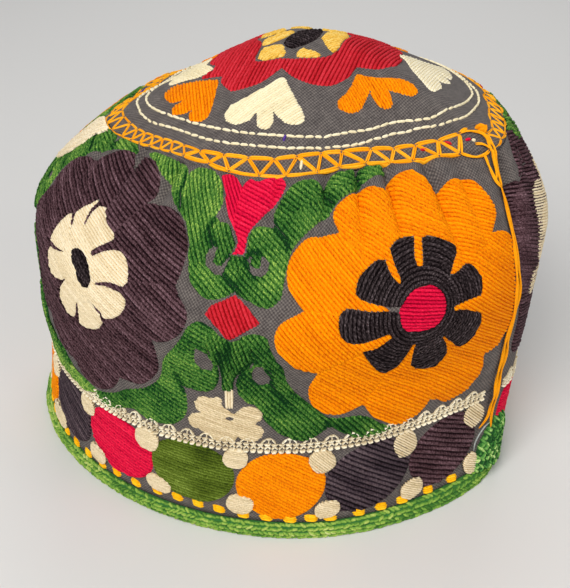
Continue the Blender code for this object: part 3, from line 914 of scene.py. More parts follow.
vineParts = {  # the vine at the front, between the two flowers
    "tulip": lobes(
        ((-38.8, 130.2), (-38.2, 131.3), (-36.5, 131.8), (-34.5, 131.5), (-32, 130.6), (-30, 129)),
        ((-28.3, 127.9), (-28, 129), (-27, 130.4), (-25.3, 130.6), (-23.6, 130.2)),
        ((-22.8, 129.8), (-21.5, 130.6), (-19.5, 131.3), (-17, 131.6), (-14, 131.3), (-12.3, 130.6), (-11.5, 129),
         (-12, 126.8), (-13, 125), (-14.5, 123), (-16.4, 121.3), (-17.6, 119.6), (-19, 117.7), (-20, 116.4),
         (-20.6, 115), (-20.9, 113.5), (-20.5, 111.5)),
        ((-20.4, 108.6), (-22.5, 108.4)),
        ((-24.5, 108.2), (-23.8, 109.4), (-23.6, 111.5), (-24.1, 113), (-25.6, 114.6), (-27.5, 116.6),
         (-29.5, 118.7), (-31.1, 120.7), (-32.6, 123), (-33.8, 124.8), (-35.3, 126.7), (-37.5, 128.6)),
    ),
    "diamond": lobes(
        ((-19.9, 97.1), (-15.7, 94.3), (-12.5, 91.4)),
        ((-10.7, 89.3), (-14.3, 86.8), (-18.6, 83.2)),
        ((-20, 83.2), (-22.1, 85.4), (-25.7, 88.2)),
        ((-28.2, 90.4), (-27.1, 92.9), (-23.6, 94.9)),
    ),
    "upperRight": lobes(
        ((-21.0, 97.7), (-21.0, 101)),
        ((-21.0, 108.2), (-19.9, 109), (-20.1, 111.5), (-20.6, 113.6), (-20.2, 115)),
        ((-19.8, 116), (-18.5, 117), (-16, 117.3), (-13.5, 117)),
        ((-12.3, 116.7), (-13.1, 118.5), (-13.7, 121), (-13, 123.4), (-11.8, 125.8), (-10.5, 127.8), (-9, 129.2),
         (-7, 130.2), (-4, 130.7), (-1, 130.4), (2.6, 129.6)),
        ((4.7, 127.6), (5.3, 129.3), (7, 131), (10, 131.8), (14.5, 131.9), (18, 131.8)),
        ((19.4, 129.8), (20.1, 131.5), (22, 132), (27.5, 132), (32, 131.7), (33.7, 130.4)),
        ((33.5, 129), (29.5, 129.3), (26.5, 128.7), (23, 127.9)),
        ((21.4, 127.2), (17, 125.8), (13, 124.6), (10.3, 123.2), (8.5, 121.5), (7.4, 119.7)),
        ((4.3, 119.1), (2.5, 117.5), (0.4, 116), (-1.8, 114), (-3.4, 112.3), (-4.5, 110.5), (-5, 107.5),
         (-5.3, 102.9), (-5.4, 97.1), (-7.1, 95), (-10, 93.9), (-13.6, 95), (-17.1, 96.2)),
    ),
    "upperRightHole": lobes(
        ((-14.3, 108.7), (-12.3, 108), (-11.2, 106.4), (-11.3, 104.2), (-12.6, 102.9), (-14.5, 102.8),
         (-16.3, 103.7), (-17.4, 105.4), (-18.3, 107.4)),
        ((-18.7, 108.9), (-17.6, 106.9)),
        ((-16.4, 105),),
        ((-13.9, 105.1), (-14.1, 107)),
    ),
    "upperLeft": lobes(
        ((-76, 130.4), (-74.5, 131.8), (-66, 132), (-59, 132), (-56.5, 131.6), (-54, 130.6)),
        ((-52, 128.6), (-51.5, 130), (-50, 131.5), (-46, 132), (-42, 131.6), (-38, 129.4), (-36, 127),
         (-34.2, 124.5), (-33.6, 122)),
        ((-34.6, 118.7), (-32, 117.1), (-29.5, 117.1), (-27.7, 116), (-26.1, 114.5), (-24.7, 113),
         (-24.1, 111.5)),
        ((-24.7, 108.2), (-22.5, 108)),
        ((-20.0, 108), (-20.0, 104)),
        ((-20.2, 97.8), (-23, 95.9), (-25.5, 94.9), (-28, 94.5), (-30, 94.9), (-32, 95.6), (-34, 97), (-36, 99),
         (-37.5, 101.5), (-38.4, 104), (-39.5, 107), (-40.3, 109), (-41.5, 111), (-43, 113), (-44.6, 115),
         (-47, 116.5), (-50, 118.2), (-53, 120), (-55, 121.8), (-57, 123.7), (-60, 125.2), (-64, 126.2),
         (-67, 127.6), (-70, 129), (-73, 129.5)),
    ),
    "upperLeftHole": lobes(
        ((-31.2, 109.8), (-32.6, 108.6), (-33.2, 106.5), (-32, 104.3), (-30, 102.5), (-27.5, 101.8),
         (-26.1, 102.3)),
        ((-25.6, 103.6), (-25.3, 105.5)),
        ((-24.8, 107.6), (-25.8, 106.4)),
        ((-26.6, 104.6), (-28.6, 104.4), (-30, 105.5), (-30.2, 107.5), (-30.2, 109.3)),
    ),
    "lowerRight": lobes(
        ((-16.4, 84.3), (-12.9, 86.1), (-10, 86.1), (-7.5, 84.3), (-6.1, 80.7), (-4.3, 77.1), (-2.1, 74.3),
         (-1.1, 71.4), (0, 67.1), (2.9, 62.9), (5.7, 60), (8.6, 57.1), (11.4, 53.6), (14.3, 51.4), (18.6, 50.7),
         (23.6, 50.7), (27.1, 49.3), (30.7, 46.4), (34.3, 43.6)),
        ((37.5, 41.1), (32.9, 39.9), (28.6, 39.9), (24.3, 40.9), (20.7, 43.6), (17.9, 45.7)),
        ((15.4, 47.1), (12.9, 45), (10.7, 42.9), (7.9, 41.8), (4.3, 42.9), (0.7, 45), (-2.9, 47.9), (-5.7, 51.4)),
        ((-6.4, 55), (-9.3, 56.8), (-12.9, 58.6), (-14.6, 62.1), (-15.4, 65.7), (-15, 68.6)),
        ((-13.2, 71.4), (-10.7, 73.6), (-12.6, 78), (-15.2, 82)),
    ),
    "lowerRightHole": lobes(
        ((-10.7, 71.4), (-9.3, 74.3), (-7.1, 72.1)),
        ((-5.4, 69.3), (-5.4, 66.4), (-7.9, 65.4), (-10.4, 67.9)),
    ),
    "lowerLeft": lobes(
        ((-22.1, 83.6), (-24.3, 85.7), (-27.9, 87.9), (-30.7, 87.5), (-33.2, 85), (-34.6, 80.7), (-36.4, 76.4),
         (-38.6, 72.1), (-39.6, 69.3), (-39.9, 62.1), (-42.4, 57.9), (-46.4, 54.6), (-53.6, 51.2), (-58.6, 47.6),
         (-64.3, 44.9), (-68.6, 43.6)),
        ((-70, 40.7), (-65.7, 39.8), (-60.7, 39.9), (-57.1, 41.4), (-53.6, 43.2), (-50, 44.3)),
        ((-47.9, 44.3), (-44.3, 42.5), (-39.3, 42.5), (-35, 43.6), (-31.4, 47.1), (-30, 51.4), (-30.4, 56.4)),
        ((-31.4, 60), (-23.6, 60), (-21.1, 62.9), (-20.4, 67.1), (-21.3, 71.4), (-23.2, 75)),
        ((-25.7, 77.9), (-23.6, 80)),
    ),
    "lowerLeftHole": lobes(
        ((-29.3, 78.6), (-27.1, 77.9), (-24.6, 75.4), (-22.9, 72.1), (-23.2, 69.6), (-25.7, 69.3), (-28.6, 71.4),
         (-29.3, 75)),
    ),
    "stem": lobes(
        ((-27, 84.5), (-22.5, 84.3)), ((-18.7, 82.4),), ((-16.3, 83.7), (-13, 82.5)),
        ((-10.9, 76), (-11.8, 72.6), (-13.6, 70.2), (-15.2, 68.6)), ((-16, 65.5), (-16, 61.8)), ((-19.2, 61.8),),
        ((-19.8, 66.5), (-20.8, 71), (-22.9, 75), (-25, 77.8)), ((-27, 79.5),),
    ),
    "blossomStem": lobes(((-19.0, 62.8),), ((-15.9, 63.2),), ((-15.1, 54.6),), ((-17.9, 54.2),)),
    "blossom": lobes(
        ((-18.5, 54.7), (-19.4, 56.2), (-19.3, 57.6), (-20.6, 58.5)),
        ((-21.8, 57.3), (-24, 58.1), (-26.5, 56.9), (-27.6, 54.6), (-27.2, 52.6)),
        ((-25.0, 51.2), (-28.4, 50.1), (-29.6, 47.9), (-29.1, 45.6), (-27.6, 44.4)),
        ((-26.2, 44.6), (-24.5, 43.5), (-22.6, 42.2), (-21.3, 41), (-19, 40.8), (-16.5, 40.8), (-14.2, 41.2)),
        ((-13.1, 43.6), (-12, 42.2), (-10, 41.7), (-7.5, 41.9), (-6, 43.4), (-5.3, 46), (-6.2, 48.2)),
        ((-8.6, 49.2), (-6.5, 50.8), (-6.3, 53.5), (-7.5, 55.7), (-9.6, 56.3), (-11.6, 55.7), (-13.2, 54.4)),
        ((-14.9, 52.4),),
    ),
    "blossomHole": oval(-16.2, 50.4, 1.7, 0.8, 15),
}
flanks = {  # what shows beside the flowers at both flanks
    "leaf": lobes(  # over the top petal of the flower beyond the seam
        ((109.5, 132), (114.8, 129.2), (117.3, 126.6), (122.3, 123), (130, 120.5)),
        ((135, 124), (131, 130), (124, 132)),
    ),
    "petal": lobes(  # beside the pale-petalled flower, on the left flank
        ((-107, 131.9), (-105.8, 130.6), (-108.5, 128.6), (-113, 125.8), (-116.5, 122), (-120.5, 118.8),
         (-124.5, 116), (-131, 111.6), (-138, 107)),
        ((-146, 104), (-149, 110), (-145, 117), (-138, 123), (-128, 129), (-118, 131.4)),
    ),
    "strip": lobes(  # under that flower, along the lace
        ((-120, 64), (-115, 59), (-107, 54.6), (-98, 52.6), (-95, 49.4), (-88.5, 46.9), (-80, 45.6), (-73.5, 44.3),
         (-68.5, 43.2)),
        ((-75.5, 39.6), (-80, 40.2), (-89, 40.2), (-100.5, 40.2), (-112, 40.4), (-124, 42)), ((-128, 52),),
    ),
}
vine = {
    "patches": {"scale": 9.0, "depth": 0.22},
    "creases": (  # creases where the lobes and curls of the green pieces meet: the rows sink there and are darkened with painted shade
        ((19.5, 132.0), (20.5, 130.0), (21.0, 128.0)), ((4.5, 131.0), (4.0, 128.0), (5.5, 126.0), (8.5, 123.5)),
        ((-13.0, 118.5), (-10.5, 116.0), (-7.5, 114.0), (-6.0, 111.0)),
        ((-20.0, 109.0), (-19.0, 107.0), (-17.5, 105.0), (-15.0, 102.5)), ((-18.0, 109.5), (-15.0, 109.5)),
        ((-25.0, 107.5), (-26.0, 105.0), (-26.0, 102.5), (-22.5, 100.0), (-20.5, 99.5), (-19.5, 97.0)),
        ((-53.5, 129.0), (-52.0, 126.5), (-52.0, 123.0), (-49.0, 119.0)),
        ((-34.5, 117.5), (-35.5, 114.5), (-33.0, 111.0), (-31.0, 110.0)),
        ((-31.0, 58.5), (-33.0, 61.5), (-34.0, 64.5)), ((-21.5, 78.0), (-20.5, 74.0), (-20.0, 67.5), (-20.0, 62.0)),
        ((-10.5, 76.0), (-13.5, 72.5), (-15.0, 68.0), (-15.5, 63.0)),
        ((-6.0, 72.5), (-5.0, 68.0), (-3.5, 63.5), (0.5, 58.5)), ((-19.0, 82.0), (-19.0, 78.5), (-19.0, 76.0)),
        ((13.5, 52.0), (14.5, 47.5)),
    ),
    "slopes": {  # what each piece is stitched in: a region round it and the slope of its rows there
        "tulip": (
            (((-50, 140), (-28.3, 140), (-28.3, 127.9), (-27.7, 119.8), (-25.6, 113.4), (-50, 113.4)), 48),
            (((-28.2, 140), (-5, 140), (-5, 113.5), (-25.5, 113.5), (-27.6, 119.9), (-28.2, 127.9)), 17),
            (((-50, 113.3), (-5, 113.3), (-5, 100), (-50, 100)), 30),
        ),
        "upperLeft": (
            (((-80, 140), (-51.9, 140), (-51.9, 128), (-47.5, 117), (-80, 117)), 60),
            (((-51.8, 140), (-15, 140), (-15, 104.1), (-60, 104.1), (-60, 116.9), (-47.4, 116.9), (-51.8, 128)), 53),
            (((-60, 104), (-15, 104), (-15, 85), (-60, 85)), 34),
        ),
        "upperRight": (
            (((-30, 117), (-12.2, 116.8), (4.6, 127.6), (4.6, 140), (-30, 140)), 27),
            (((4.7, 140), (40, 140), (40, 126), (21.4, 127.1), (4.7, 127.5)), 16),
            (((-30, 116.9), (-12.2, 116.7), (4.6, 127.5), (22, 127), (22, 85), (-30, 85)), 36),
        ),
    },
}
threads = {  # strength of the flecks and painted glints, darkness of the painted shade in the grooves between rows, then the colours from dark to light
    "orange": (0.52, 0.3, "#b85000", "#dc7200", "#f08a00", "#f99a02", "#fdb41c"),
    "aubergine": (0.62, 0.52, "#14080c", "#352024", "#50393d", "#6c5056", "#987a80"),
    "black": (0.8, 0.42, "#080304", "#1c1516", "#32292a", "#4e4344", "#7e7072"),
    "crimson": (0.45, 0.42, "#8c0020", "#bf0532", "#df163e", "#f22e50", "#fb6480"),
    "scarlet": (0.42, 0.46, "#900c14", "#b81c26", "#cb2b37", "#da3f4a", "#e4636a"),
    "green": (0.8, 0.42, "#0c3014", "#2a5a1e", "#4a7432", "#6e953a", "#a8c05c"),
    "olive": (0.45, 0.42, "#26340a", "#415110", "#586a20", "#748834", "#a4b458"),
    "cream": (0.3, 0.26, "#b8a078", "#dcc8a0", "#f0dfbe", "#f9ebd0", "#fff6e0"),
    "white": (0.28, 0.2, "#b8a680", "#ddcda4", "#efe1ba", "#f6ebcc", "#fdf5da"),
    "navy": (0.45, 0.55, "#0e080b", "#2a2026", "#483b40", "#655659", "#8c7c82"),
    "gold": (0.4, 0.36, "#a47a1e", "#cc9a32", "#e6b64a", "#f2ce70", "#fae49c"),
    "yellow": (0.4, 0.2, "#c88000", "#f0a408", "#fcb812", "#ffc828", "#ffdc60"),
}
threadMaterials = {name: threadMaterial(name + "Cotton", colours, fleckAndGlint, paintedGrooveShade)
                   for name, (fleckAndGlint, paintedGrooveShade, *colours) in threads.items()}
wallRows = {name: [] for name in threads}
crownRows = {name: [] for name in threads}


def dyedPatches(scale, depth):  # of a thread that was dyed unevenly
    def mottle(u, v):
        return depth * 2 * (smoothNoise(u / scale + 11, v / scale * 1.6 + 3) - 0.5)
    return mottle


def fillWall(thread, outlines, angle, pitch, **details):  # slope of the rows in degrees, mm between them
    wallRows[thread] += fillRows(outlines, onWall, angle, pitch, **details)


def fillCrown(thread, outlines, angle, pitch=1.0, **details):
    crownRows[thread] += fillRows(outlines, onCrown, angle, pitch, **details)


def wedge(centre, first, second):  # between two charted notches, seen from the centre
    overlap, reach = 0.5, 90.0  # mm
    edges = []
    for notch, side in ((first, 1), (second, -1)):
        along = np.array(notch) - centre
        along = along / np.hypot(*along)
        shift = side * overlap * np.array((-along[1], along[0]))
        edges.append((centre + shift, centre + shift + reach * along))
    middle = edges[0][1] + edges[1][1] - 2 * np.array(centre)
    middle = middle / np.hypot(*middle) * 2 * reach
    return np.array((edges[0][0], edges[0][1], centre + middle, edges[1][1], edges[1][0]))


def stitchPetals(thread, outlines, centre, petals, pitch, shift, mirrorAt, **details):
    # each petal is filled on its own, with its rows at its own slope
    for (notch, angle), (following, _) in zip(petals, petals[1:] + petals[:1]):
        sector = moved(wedge(np.array(centre), notch, following), shift, mirrorAt)
        fillWall(thread, outlines, angle, pitch, within=sector, **details)


def stitchFlower(shift, petals, rosette, centre):
    pitch = flower["pitch"]
    outer, inner, middle = (moved(flower[key], shift) for key in ("outer", "rosette", "centre"))
    stitchPetals(petals, [outer, inner], flower["at"], flower["petals"], pitch["petals"], shift, None)
    wallRows[rosette] += roundRows(flower["rosette"], flower["centre"], np.array(flower["at"]), flower["slit"],
                                   pitch["rosette"], shift, tone=0.45, toneSpread=0.14)
    fillWall(centre, [middle], 11, pitch["centre"], tone=0.4)


def stitchWideFlower(shift, petals, inner, centre, mirrorAt=None, edge=()):
    pitch = wideFlower["pitch"]
    outer, pale, middle = (moved(wideFlower[key], shift, mirrorAt) for key in ("outer", "petals", "centre"))
    stitchPetals(petals, [outer, pale], wideFlower["at"], wideFlower["lobes"], pitch["lobes"], shift, mirrorAt,
                 toneSpread=0.2)
    details = {"tone": 0.42, "height": 0.6, "fray": 0.3, "lift": 0.3 if edge else 0.0}
    fillWall(inner, [pale, middle, *edge], 20, pitch["petals"], **details)
    for petal in edge:  # where a petal lies over the others
        fillWall(inner, [pale, middle], 20, pitch["petals"], within=petal, **details)
    fillWall(centre, [middle], 29, pitch["centre"], tone=0.4)


def grown(region):  # a region enlarged about its middle, so that its rows overlap the next region's
    region = np.array(region, float)
    return region + 0.7 * unit(region - region.mean(axis=0))


def stitchVine(shift, tulip, diamond, aside=0.0, clear=()):
    part = {key: moved(outline, shift) for key, outline in vineParts.items()}
    leaves = {"mottle": dyedPatches(**vine["patches"]), "toneSpread": 0.1,
              "creases": [moved(np.array(line), shift) for line in vine["creases"]]}
    for leaf, tone in (("upperRight", 0.53), ("upperLeft", 0.58)):
        tail = 1 if aside and leaf == "upperLeft" else 0  # its tail would lie on the flower behind
        for region, angle in vine["slopes"][leaf][tail:]:
            fillWall("green", [part[leaf], part[leaf + "Hole"]], angle, 1.4, tone=tone,
                     within=moved(grown(region), shift), clear=clear, **leaves)
    for leaf, angle, tone in (("lowerRight", 48, 0.36), ("lowerLeft", 22, 0.39)):
        fillWall("green", [part[leaf], part[leaf + "Hole"]], angle, 1.5, tone=tone, dip=0.16, clear=clear, **leaves)
    fillWall("green", [part["stem"]], 66, 1.3, tone=0.42, lift=0.3, **leaves)
    for region, angle in vine["slopes"]["tulip"] if tulip else ():
        fillWall(tulip, [part["tulip"]], angle, 1.15, within=moved(grown(region), shift))
    fillWall(diamond, [moved(vineParts["diamond"], shift + aside)], 58, 1.25, tone=0.38,
             lift=-0.04 * aside, clear=clear)
    fillWall("cream", [part["blossom"], part["blossomHole"]], 16, 0.8, tone=0.23, height=0.55, fray=0.5)
    fillWall("cream", [part["blossomStem"]], 84, 0.85, tone=0.44, height=0.55)


# Where each motif lies along the girth, and its threads

stitchFlower(0, "orange", "black", "crimson")
stitchVine(0, "crimson", "scarlet")
stitchWideFlower(0, "aubergine", "cream", "black")
stitchVine(-116, None, "green", aside=-7.0, clear=[moved(flower["outer"], -237)])
fillWall("cream", [flanks["petal"]], -32, 1.1, lift=0.6)
fillWall("green", [flanks["strip"]], 14, 1.4, tone=0.66, toneSpread=0.1, mottle=dyedPatches(**vine["patches"]),
         lift=0.5)
stitchFlower(-237, "orange", "black", "crimson")
stitchVine(-237.5, "crimson", "scarlet", clear=[moved(flower["outer"], 204.5 - girth)])
stitchFlower(204.5, "crimson", "black", "orange")
stitchVine(205, "scarlet", "orange")
stitchWideFlower(0, "aubergine", "cream", "black", mirrorAt=24.5, edge=wideFlower["edgePetals"])
fillWall("aubergine", [wideFlower["edgeLobe"]], 22, wideFlower["pitch"]["lobes"], toneSpread=0.2)
fillWall("aubergine", [wideFlower["edgeBody"]], 24, wideFlower["pitch"]["lobes"], toneSpread=0.2)
fillWall("green", [flanks["leaf"]], 30, 1.4, tone=0.55, toneSpread=0.22, lift=0.5)
print("wall motifs charted")

# Band: a row of ovals, dots between them and running dashes under them

band = {
    "ovals": (  # u, v, half width, half height, tilt, thread, row angle, pitch
        (-90.5, 24, 14.5, 14, -10, "navy", 30, 1.7), (-59.7, 24, 16.3, 13.4, -8, "crimson", 12, 1.5),
        (-28.7, 24.5, 15.5, 13.3, -8, "olive", 6, 1.2), (2.2, 22.5, 14.8, 14.3, -30, "orange", 32, 1.2),
        (32, 23, 15.5, 14.2, 20, "navy", 34, 1.6), (61.5, 22.7, 14, 13.7, 25, "aubergine", 27, 1.75),
    ),
    "dots": (  # u, v, half width, half height, tilt
        (-75.7, 33.6, 4.2, 4.2, 0), (-45.5, 33.4, 4.8, 4.8, -10), (-13.3, 34.0, 4.0, 4.3, -10),
        (14.7, 33.2, 4.0, 5.0, 30), (44, 32.5, 4.2, 6.0, 25), (72.9, 32.2, 4.0, 5.6, 30),
        (-101.5, 11.8, 4.6, 3.8, 0), (-72.5, 12.6, 4.8, 4.0, -8), (-41.4, 14.2, 5.2, 3.4, -12),
        (-10.7, 13.6, 4.6, 4.2, -8), (18.6, 12.0, 4.2, 3.7, 10), (49.3, 11.4, 4.4, 4.0, 15),
        (74.7, 10.4, 3.2, 4.6, 15),
    ),
    "dashes": (  # u and v of each dash at the front
        (-98, 7.8), (-89.5, 7.6), (-80.5, 7.8), (-71, 8.1), (-62.5, 8.8), (-52.5, 9), (-42.5, 9.9), (-34, 10.2),
        (-26, 9.9), (-18, 9.4), (-9.5, 8.6), (-1.5, 8.3), (6.5, 7.9), (13.5, 8.2), (20, 7.8), (30, 7.9),
        (38, 7.9), (46, 7.8), (56.5, 7.7), (66.5, 7.8),
    ),
    "backThreads": ("crimson", "orange", "aubergine", "navy", "olive"),
    "back": (86.0, 105.9, 12),  # u where the back's ovals start, mm before the girth's end where they stop, how many
    "backOval": {"v": 23.5, "share": 0.47, "halfHeight": 13.8, "pitch": 1.35},
    "backDots": ((33.4, 4.3, 4.6, 6), (12.6, 4.5, 3.9, -4)),  # v, half width, half height, tilt from one to the next
    "besideSeam": (93.4, 27.0, 7.2, 11.2, 0, "crimson", 12, 1.15),
    "backDashes": (100.0, 103, 8.5),  # u where they start, mm before the girth's end where they stop, step
    "strands": ((2.1, 1.9), (2.2, 2.2), (1.9, 2.1)),  # of a dash, back and ahead of its middle, from the top
    "strand": {"width": 1.35, "height": 0.95, "apart": 0.85, "slope": 0.3, "uneven": 0.4},
    "patches": {"scale": 8.0, "depth": 0.25},
}


def stitchBand():
    ovals, dots, dashes = list(band["ovals"]), list(band["dots"]), list(band["dashes"])
    start, before, count = band["back"]
    width, back = (girth - before - start) / count, band["backOval"]
    ovals.append(band["besideSeam"])
    for k in range(count):
        u = start + (k + 0.5) * width
        if k:
            thread = band["backThreads"][k % len(band["backThreads"])]
            ovals.append((u, back["v"], back["share"] * width, back["halfHeight"], -12 + 5 * (k % 4), thread,
                          18 + 5 * (k % 4), back["pitch"]))
        for v, halfWidth, halfHeight, tilt in band["backDots"]:
            dots.append((u + 0.5 * width, v, halfWidth, halfHeight, tilt * (k % 3)))
    u, before, step = band["backDashes"]
    while u < girth - before:
        dashes.append((u, 8.0 + 0.4 * math.sin(u / 17)))
        u += step + 0.7 * math.sin(u * 1.3)
    for u, v, halfWidth, halfHeight, tilt, thread, angle, pitch in ovals:
        outline = oval(u, v, halfWidth, halfHeight, tilt, corner=2.15)
        dark = thread in ("navy", "aubergine")
        fillWall(thread, [outline], angle, pitch, toneSpread=0.2 if dark else 0.12, dip=0.1 if dark else 0.2,
                 mottle=dyedPatches(**band["patches"]) if thread == "olive" else None)
    for u, v, halfWidth, halfHeight, tilt in dots:
        outline = oval(u, v, halfWidth, halfHeight, tilt, corner=2.4)
        fillWall("cream", [outline], 15 + tilt, 0.8, tone=0.34, height=0.55, lift=0.8, fray=0.2)
    strand = band["strand"]
    for u, v in dashes:  # three strands laid side by side, the middle one longest
        for row, (back, ahead) in enumerate(band["strands"]):
            rise = v + strand["apart"] * (1 - row)
            start = (u - back - strand["uneven"] * random.rand(), rise + strand["slope"])
            end = (u + ahead + strand["uneven"] * random.rand(), rise - strand["slope"])
            wallRows["yellow"] += stitches(onWall, [start], [end], strand["width"], strand["height"],
                                           0.42 + 0.3 * random.rand())


stitchBand()
print("band motifs charted")

# Crown: a large flower around a small dark centre, trefoils around it, two stitched rings

crown = {
    "flower": lobes(
        ((-28.7, 2.8), (-29.9, -3), (-33.7, -9.7), (-31.2, -14.7)),
        ((-36.6, -18.8), (-28.7, -21.3), (-29.5, -23.8), (-27.8, -27.2), (-26.2, -29.7), (-22, -30.1),
         (-17, -29.3), (-13.7, -27.2)),
        ((-9.5, -23.4), (-7.8, -25.9), (-5.3, -28.4), (-0.3, -30.5), (5.5, -30.1), (9.7, -27.2), (13, -23.8)),
        ((15.1, -19.7), (22.2, -19.7), (26.3, -17.2), (29.7, -13.8), (30.5, -10.5), (32.2, -7.2)),
        ((31.3, -3), (33, 1.2), (33.5, 6), (31, 11.5)),
        ((29, 14.5), (27.4, 20.4), (21.8, 24.6), (14.6, 23.4)),
        ((11.4, 27.4), (5.4, 32.6), (-2.4, 32.4), (-8.4, 28.6)),
        ((-11.4, 26.2), (-17.4, 29.6), (-25.2, 27.8), (-27.6, 21.4)),
        ((-26.4, 17.4), (-31, 13.6), (-31.6, 7.4)),
    ),
    "flowerHole": lobes(
        ((-17, -3), (-15.8, -7.2), (-17.8, -14.7), (-17.8, -18)),
        ((-9.5, -18.8), (-4.5, -19.3), (0.5, -18.8), (4.7, -17.2), (8, -14.7), (10.5, -11.3), (12.2, -7.2),
         (13.8, -2.2), (15.1, 0.3), (15.4, 6)),
        ((14.2, 11), (8.4, 16.4), (0.5, 18.4), (-7.4, 17.2)),
        ((-13.6, 13.4), (-17.2, 6), (-17.4, 1)),
    ),
    "petals": (
        lobes(((-15.3, -5.5), (-12, -3.8), (-7, -0.5), (-4.5, -1.3), (-7, -4.7), (-9.5, -7.2), (-15.3, -9))),
        lobes(((-17.2, -16.3), (-16.2, -12.2), (-13.7, -10.7), (-9.1, -10.7), (-8.5, -13.8), (-8.7, -17.6),
               (-15.3, -18.2))),
        lobes(((-4.5, -18.4), (-4.1, -15.5), (-2, -13.8), (0.1, -14.7), (3.8, -16.6), (0.1, -18.6))),
        lobes(((4.3, -6.3), (6.3, -2.2), (9.7, 1.2), (14.2, 2.4), (14.2, -0.5), (12, -5.5), (10.3, -10.5),
               (8, -14.2), (6.3, -12.2), (5.1, -8.8))),
        lobes(((5.2, 3.4), (10.4, 4.6), (14.4, 7.4), (12.4, 11.6), (7.4, 14.4), (5.2, 9.4))),
        lobes(((-0.6, 3.6), (1.8, 8.2), (2.2, 15.6), (-3.4, 17.2), (-5.8, 10.4))),
        lobes(((-8.4, 1.6), (-7.2, 7.4), (-9.8, 14.2), (-15.2, 7.6), (-15.6, 1.4))),
    ),
    "centre": lobes(((-8.7, -9.7), (-7, -5.5), (-2.8, -1.3), (4.7, 1.2), (4.3, -3.8), (2.2, -8), (-0.3, -10.9),
                     (-3.7, -13), (-7, -13.8))),
    "frontTrefoil": lobes(
        ((-10.7, -27.8),),
        ((-12.8, -30.1), (-21.2, -34.3), (-26.2, -36.3), (-27.8, -38.8), (-27, -42.2), (-23.7, -44.3),
         (-20.3, -43.4)),
        ((-17.3, -40.6), (-17.8, -43.8), (-17, -46.8), (-14.5, -47.6), (-12.6, -45.6)),
        ((-12.8, -40.8), (-10.3, -44.2), (-7, -46.3), (-2.8, -44.9), (-3.1, -42.2), (-5.3, -37.2), (-7.4, -32.2),
         (-8.7, -28)),
    ),
    "orangeRight": lobes(
        ((15.1, -22.6), (13, -28), (10.5, -32.2), (8, -35.5), (8.4, -38), (11.3, -38.7), (14.7, -37.2),
         (16.8, -33.8)),
        ((19.3, -27.8), (19.6, -31), (20.7, -33.4), (23.4, -34.4), (26.3, -32.2)),
        ((24.9, -27.4), (28.8, -28), (33, -28.4), (35.1, -26.3), (34.3, -23.8), (30.5, -22.2), (26.3, -22.4),
         (21.3, -23.2)),
    ),
    "whiteRight": lobes(
        ((31.3, -0.5), (33.8, -4.7), (34.7, -11.3), (37.2, -18), (40.1, -23), (43, -19.7), (45.1, -13.8)),
        ((43.6, -7.4), (45.6, -9.9), (47.6, -8.6), (49.7, -4.7)),
        ((46.4, 0.6), (50.3, -0.9), (51.8, 3.7), (52.2, 12), (50.5, 16), (46.3, 11.2), (41.3, 7), (36.3, 4.5)),
    ),
    "orangeLeft": lobes(
        ((-29.9, -22.2), (-35.3, -20.1), (-40.3, -18.4), (-45.3, -16.8), (-47.8, -18), (-48.3, -21.3),
         (-46.2, -25.5)),
        ((-41.6, -26.6), (-45.3, -28.4), (-45.8, -31.3), (-41.2, -33)),
        ((-38.6, -32.2), (-39.9, -35.5), (-37.8, -38), (-34.1, -38.6), (-32.2, -34.7), (-30.6, -25.5)),
    ),
    "whiteLeft": lobes(
        ((-32, -14.9), (-34.5, -16.6), (-38.2, -16.9), (-42, -15.6), (-46.4, -14.4), (-47.8, -11.6)),
        ((-46.2, -8.4), (-41.8, -7.2), (-48.6, -5.6), (-50.4, -1.4), (-47.6, 1.6)),
        ((-41.2, -1.8), (-46.4, 4.6), (-43.4, 8.6), (-38.4, 6.8), (-33.6, 0.4), (-33.2, -4.6), (-34.8, -9.6)),
    ),
    "backTrefoils": (  # azimuth, reach, size, thread
        (135, 33.8, 1.0, "orange"), (180, 33.6, 0.82, "white"), (-127, 34.8, 0.72, "orange"),
    ),
    "backTrefoil": lobes(
        ((0, 0), (-2.9, -2.2), (-7, -6.5), (-9.2, -9.7), (-8.2, -12.8), (-4.9, -12.9)),
        ((-2, -9.9), (-2.4, -13.1), (0, -15), (2.4, -13.1)),
        ((2, -9.9), (4.9, -12.9), (8.2, -12.8), (9.2, -9.7), (7, -6.5), (2.9, -2.2)),
    ),
    "rings": (  # azimuth and mm inside the seam
        ((-150, 9.6), (-80, 9.8), (-71, 10.4), (-66, 9.4), (-59, 8.3), (-49, 8.8), (-34, 8.7), (-26, 9.1), (-17, 9.2),
         (-9.5, 8.7), (-2, 8.3), (1.6, 7.7), (9, 7.2), (14, 6.8), (19, 7.0), (23, 7.6), (27, 7.7), (31, 8.6), (36, 8.7),
         (41, 10.4), (48, 11.7), (52.5, 13.3), (57, 13.5), (64, 12.9), (79, 9.1), (94, 8.0), (105, 9.4), (125, 10.4)),
        ((-150, 13.6), (-83, 14.6), (-78, 13.7), (-65, 12.9), (-58, 12.6), (-45, 12.4), (-30, 13.2), (-15, 13.1),
         (-5, 12.3), (3.5, 11.1), (12, 11.0), (23, 10.5), (28, 11.3), (33.5, 12.2), (43, 13.5), (48, 14.7),
         (52, 16.8), (56, 18.1), (62, 17.4), (74, 13.4), (85, 10.9), (100, 10.6), (125, 14.0)),
    ),
    "ringThread": (0.82, 0.75),  # width and height
    "ringStitch": (2.9, 0.05),  # stitch and gap
}


def turned(outline, azimuth):
    angle = math.radians(azimuth)
    x, y = outline.T
    return np.stack((x * math.cos(angle) - y * math.sin(angle), x * math.sin(angle) + y * math.cos(angle)), axis=1)


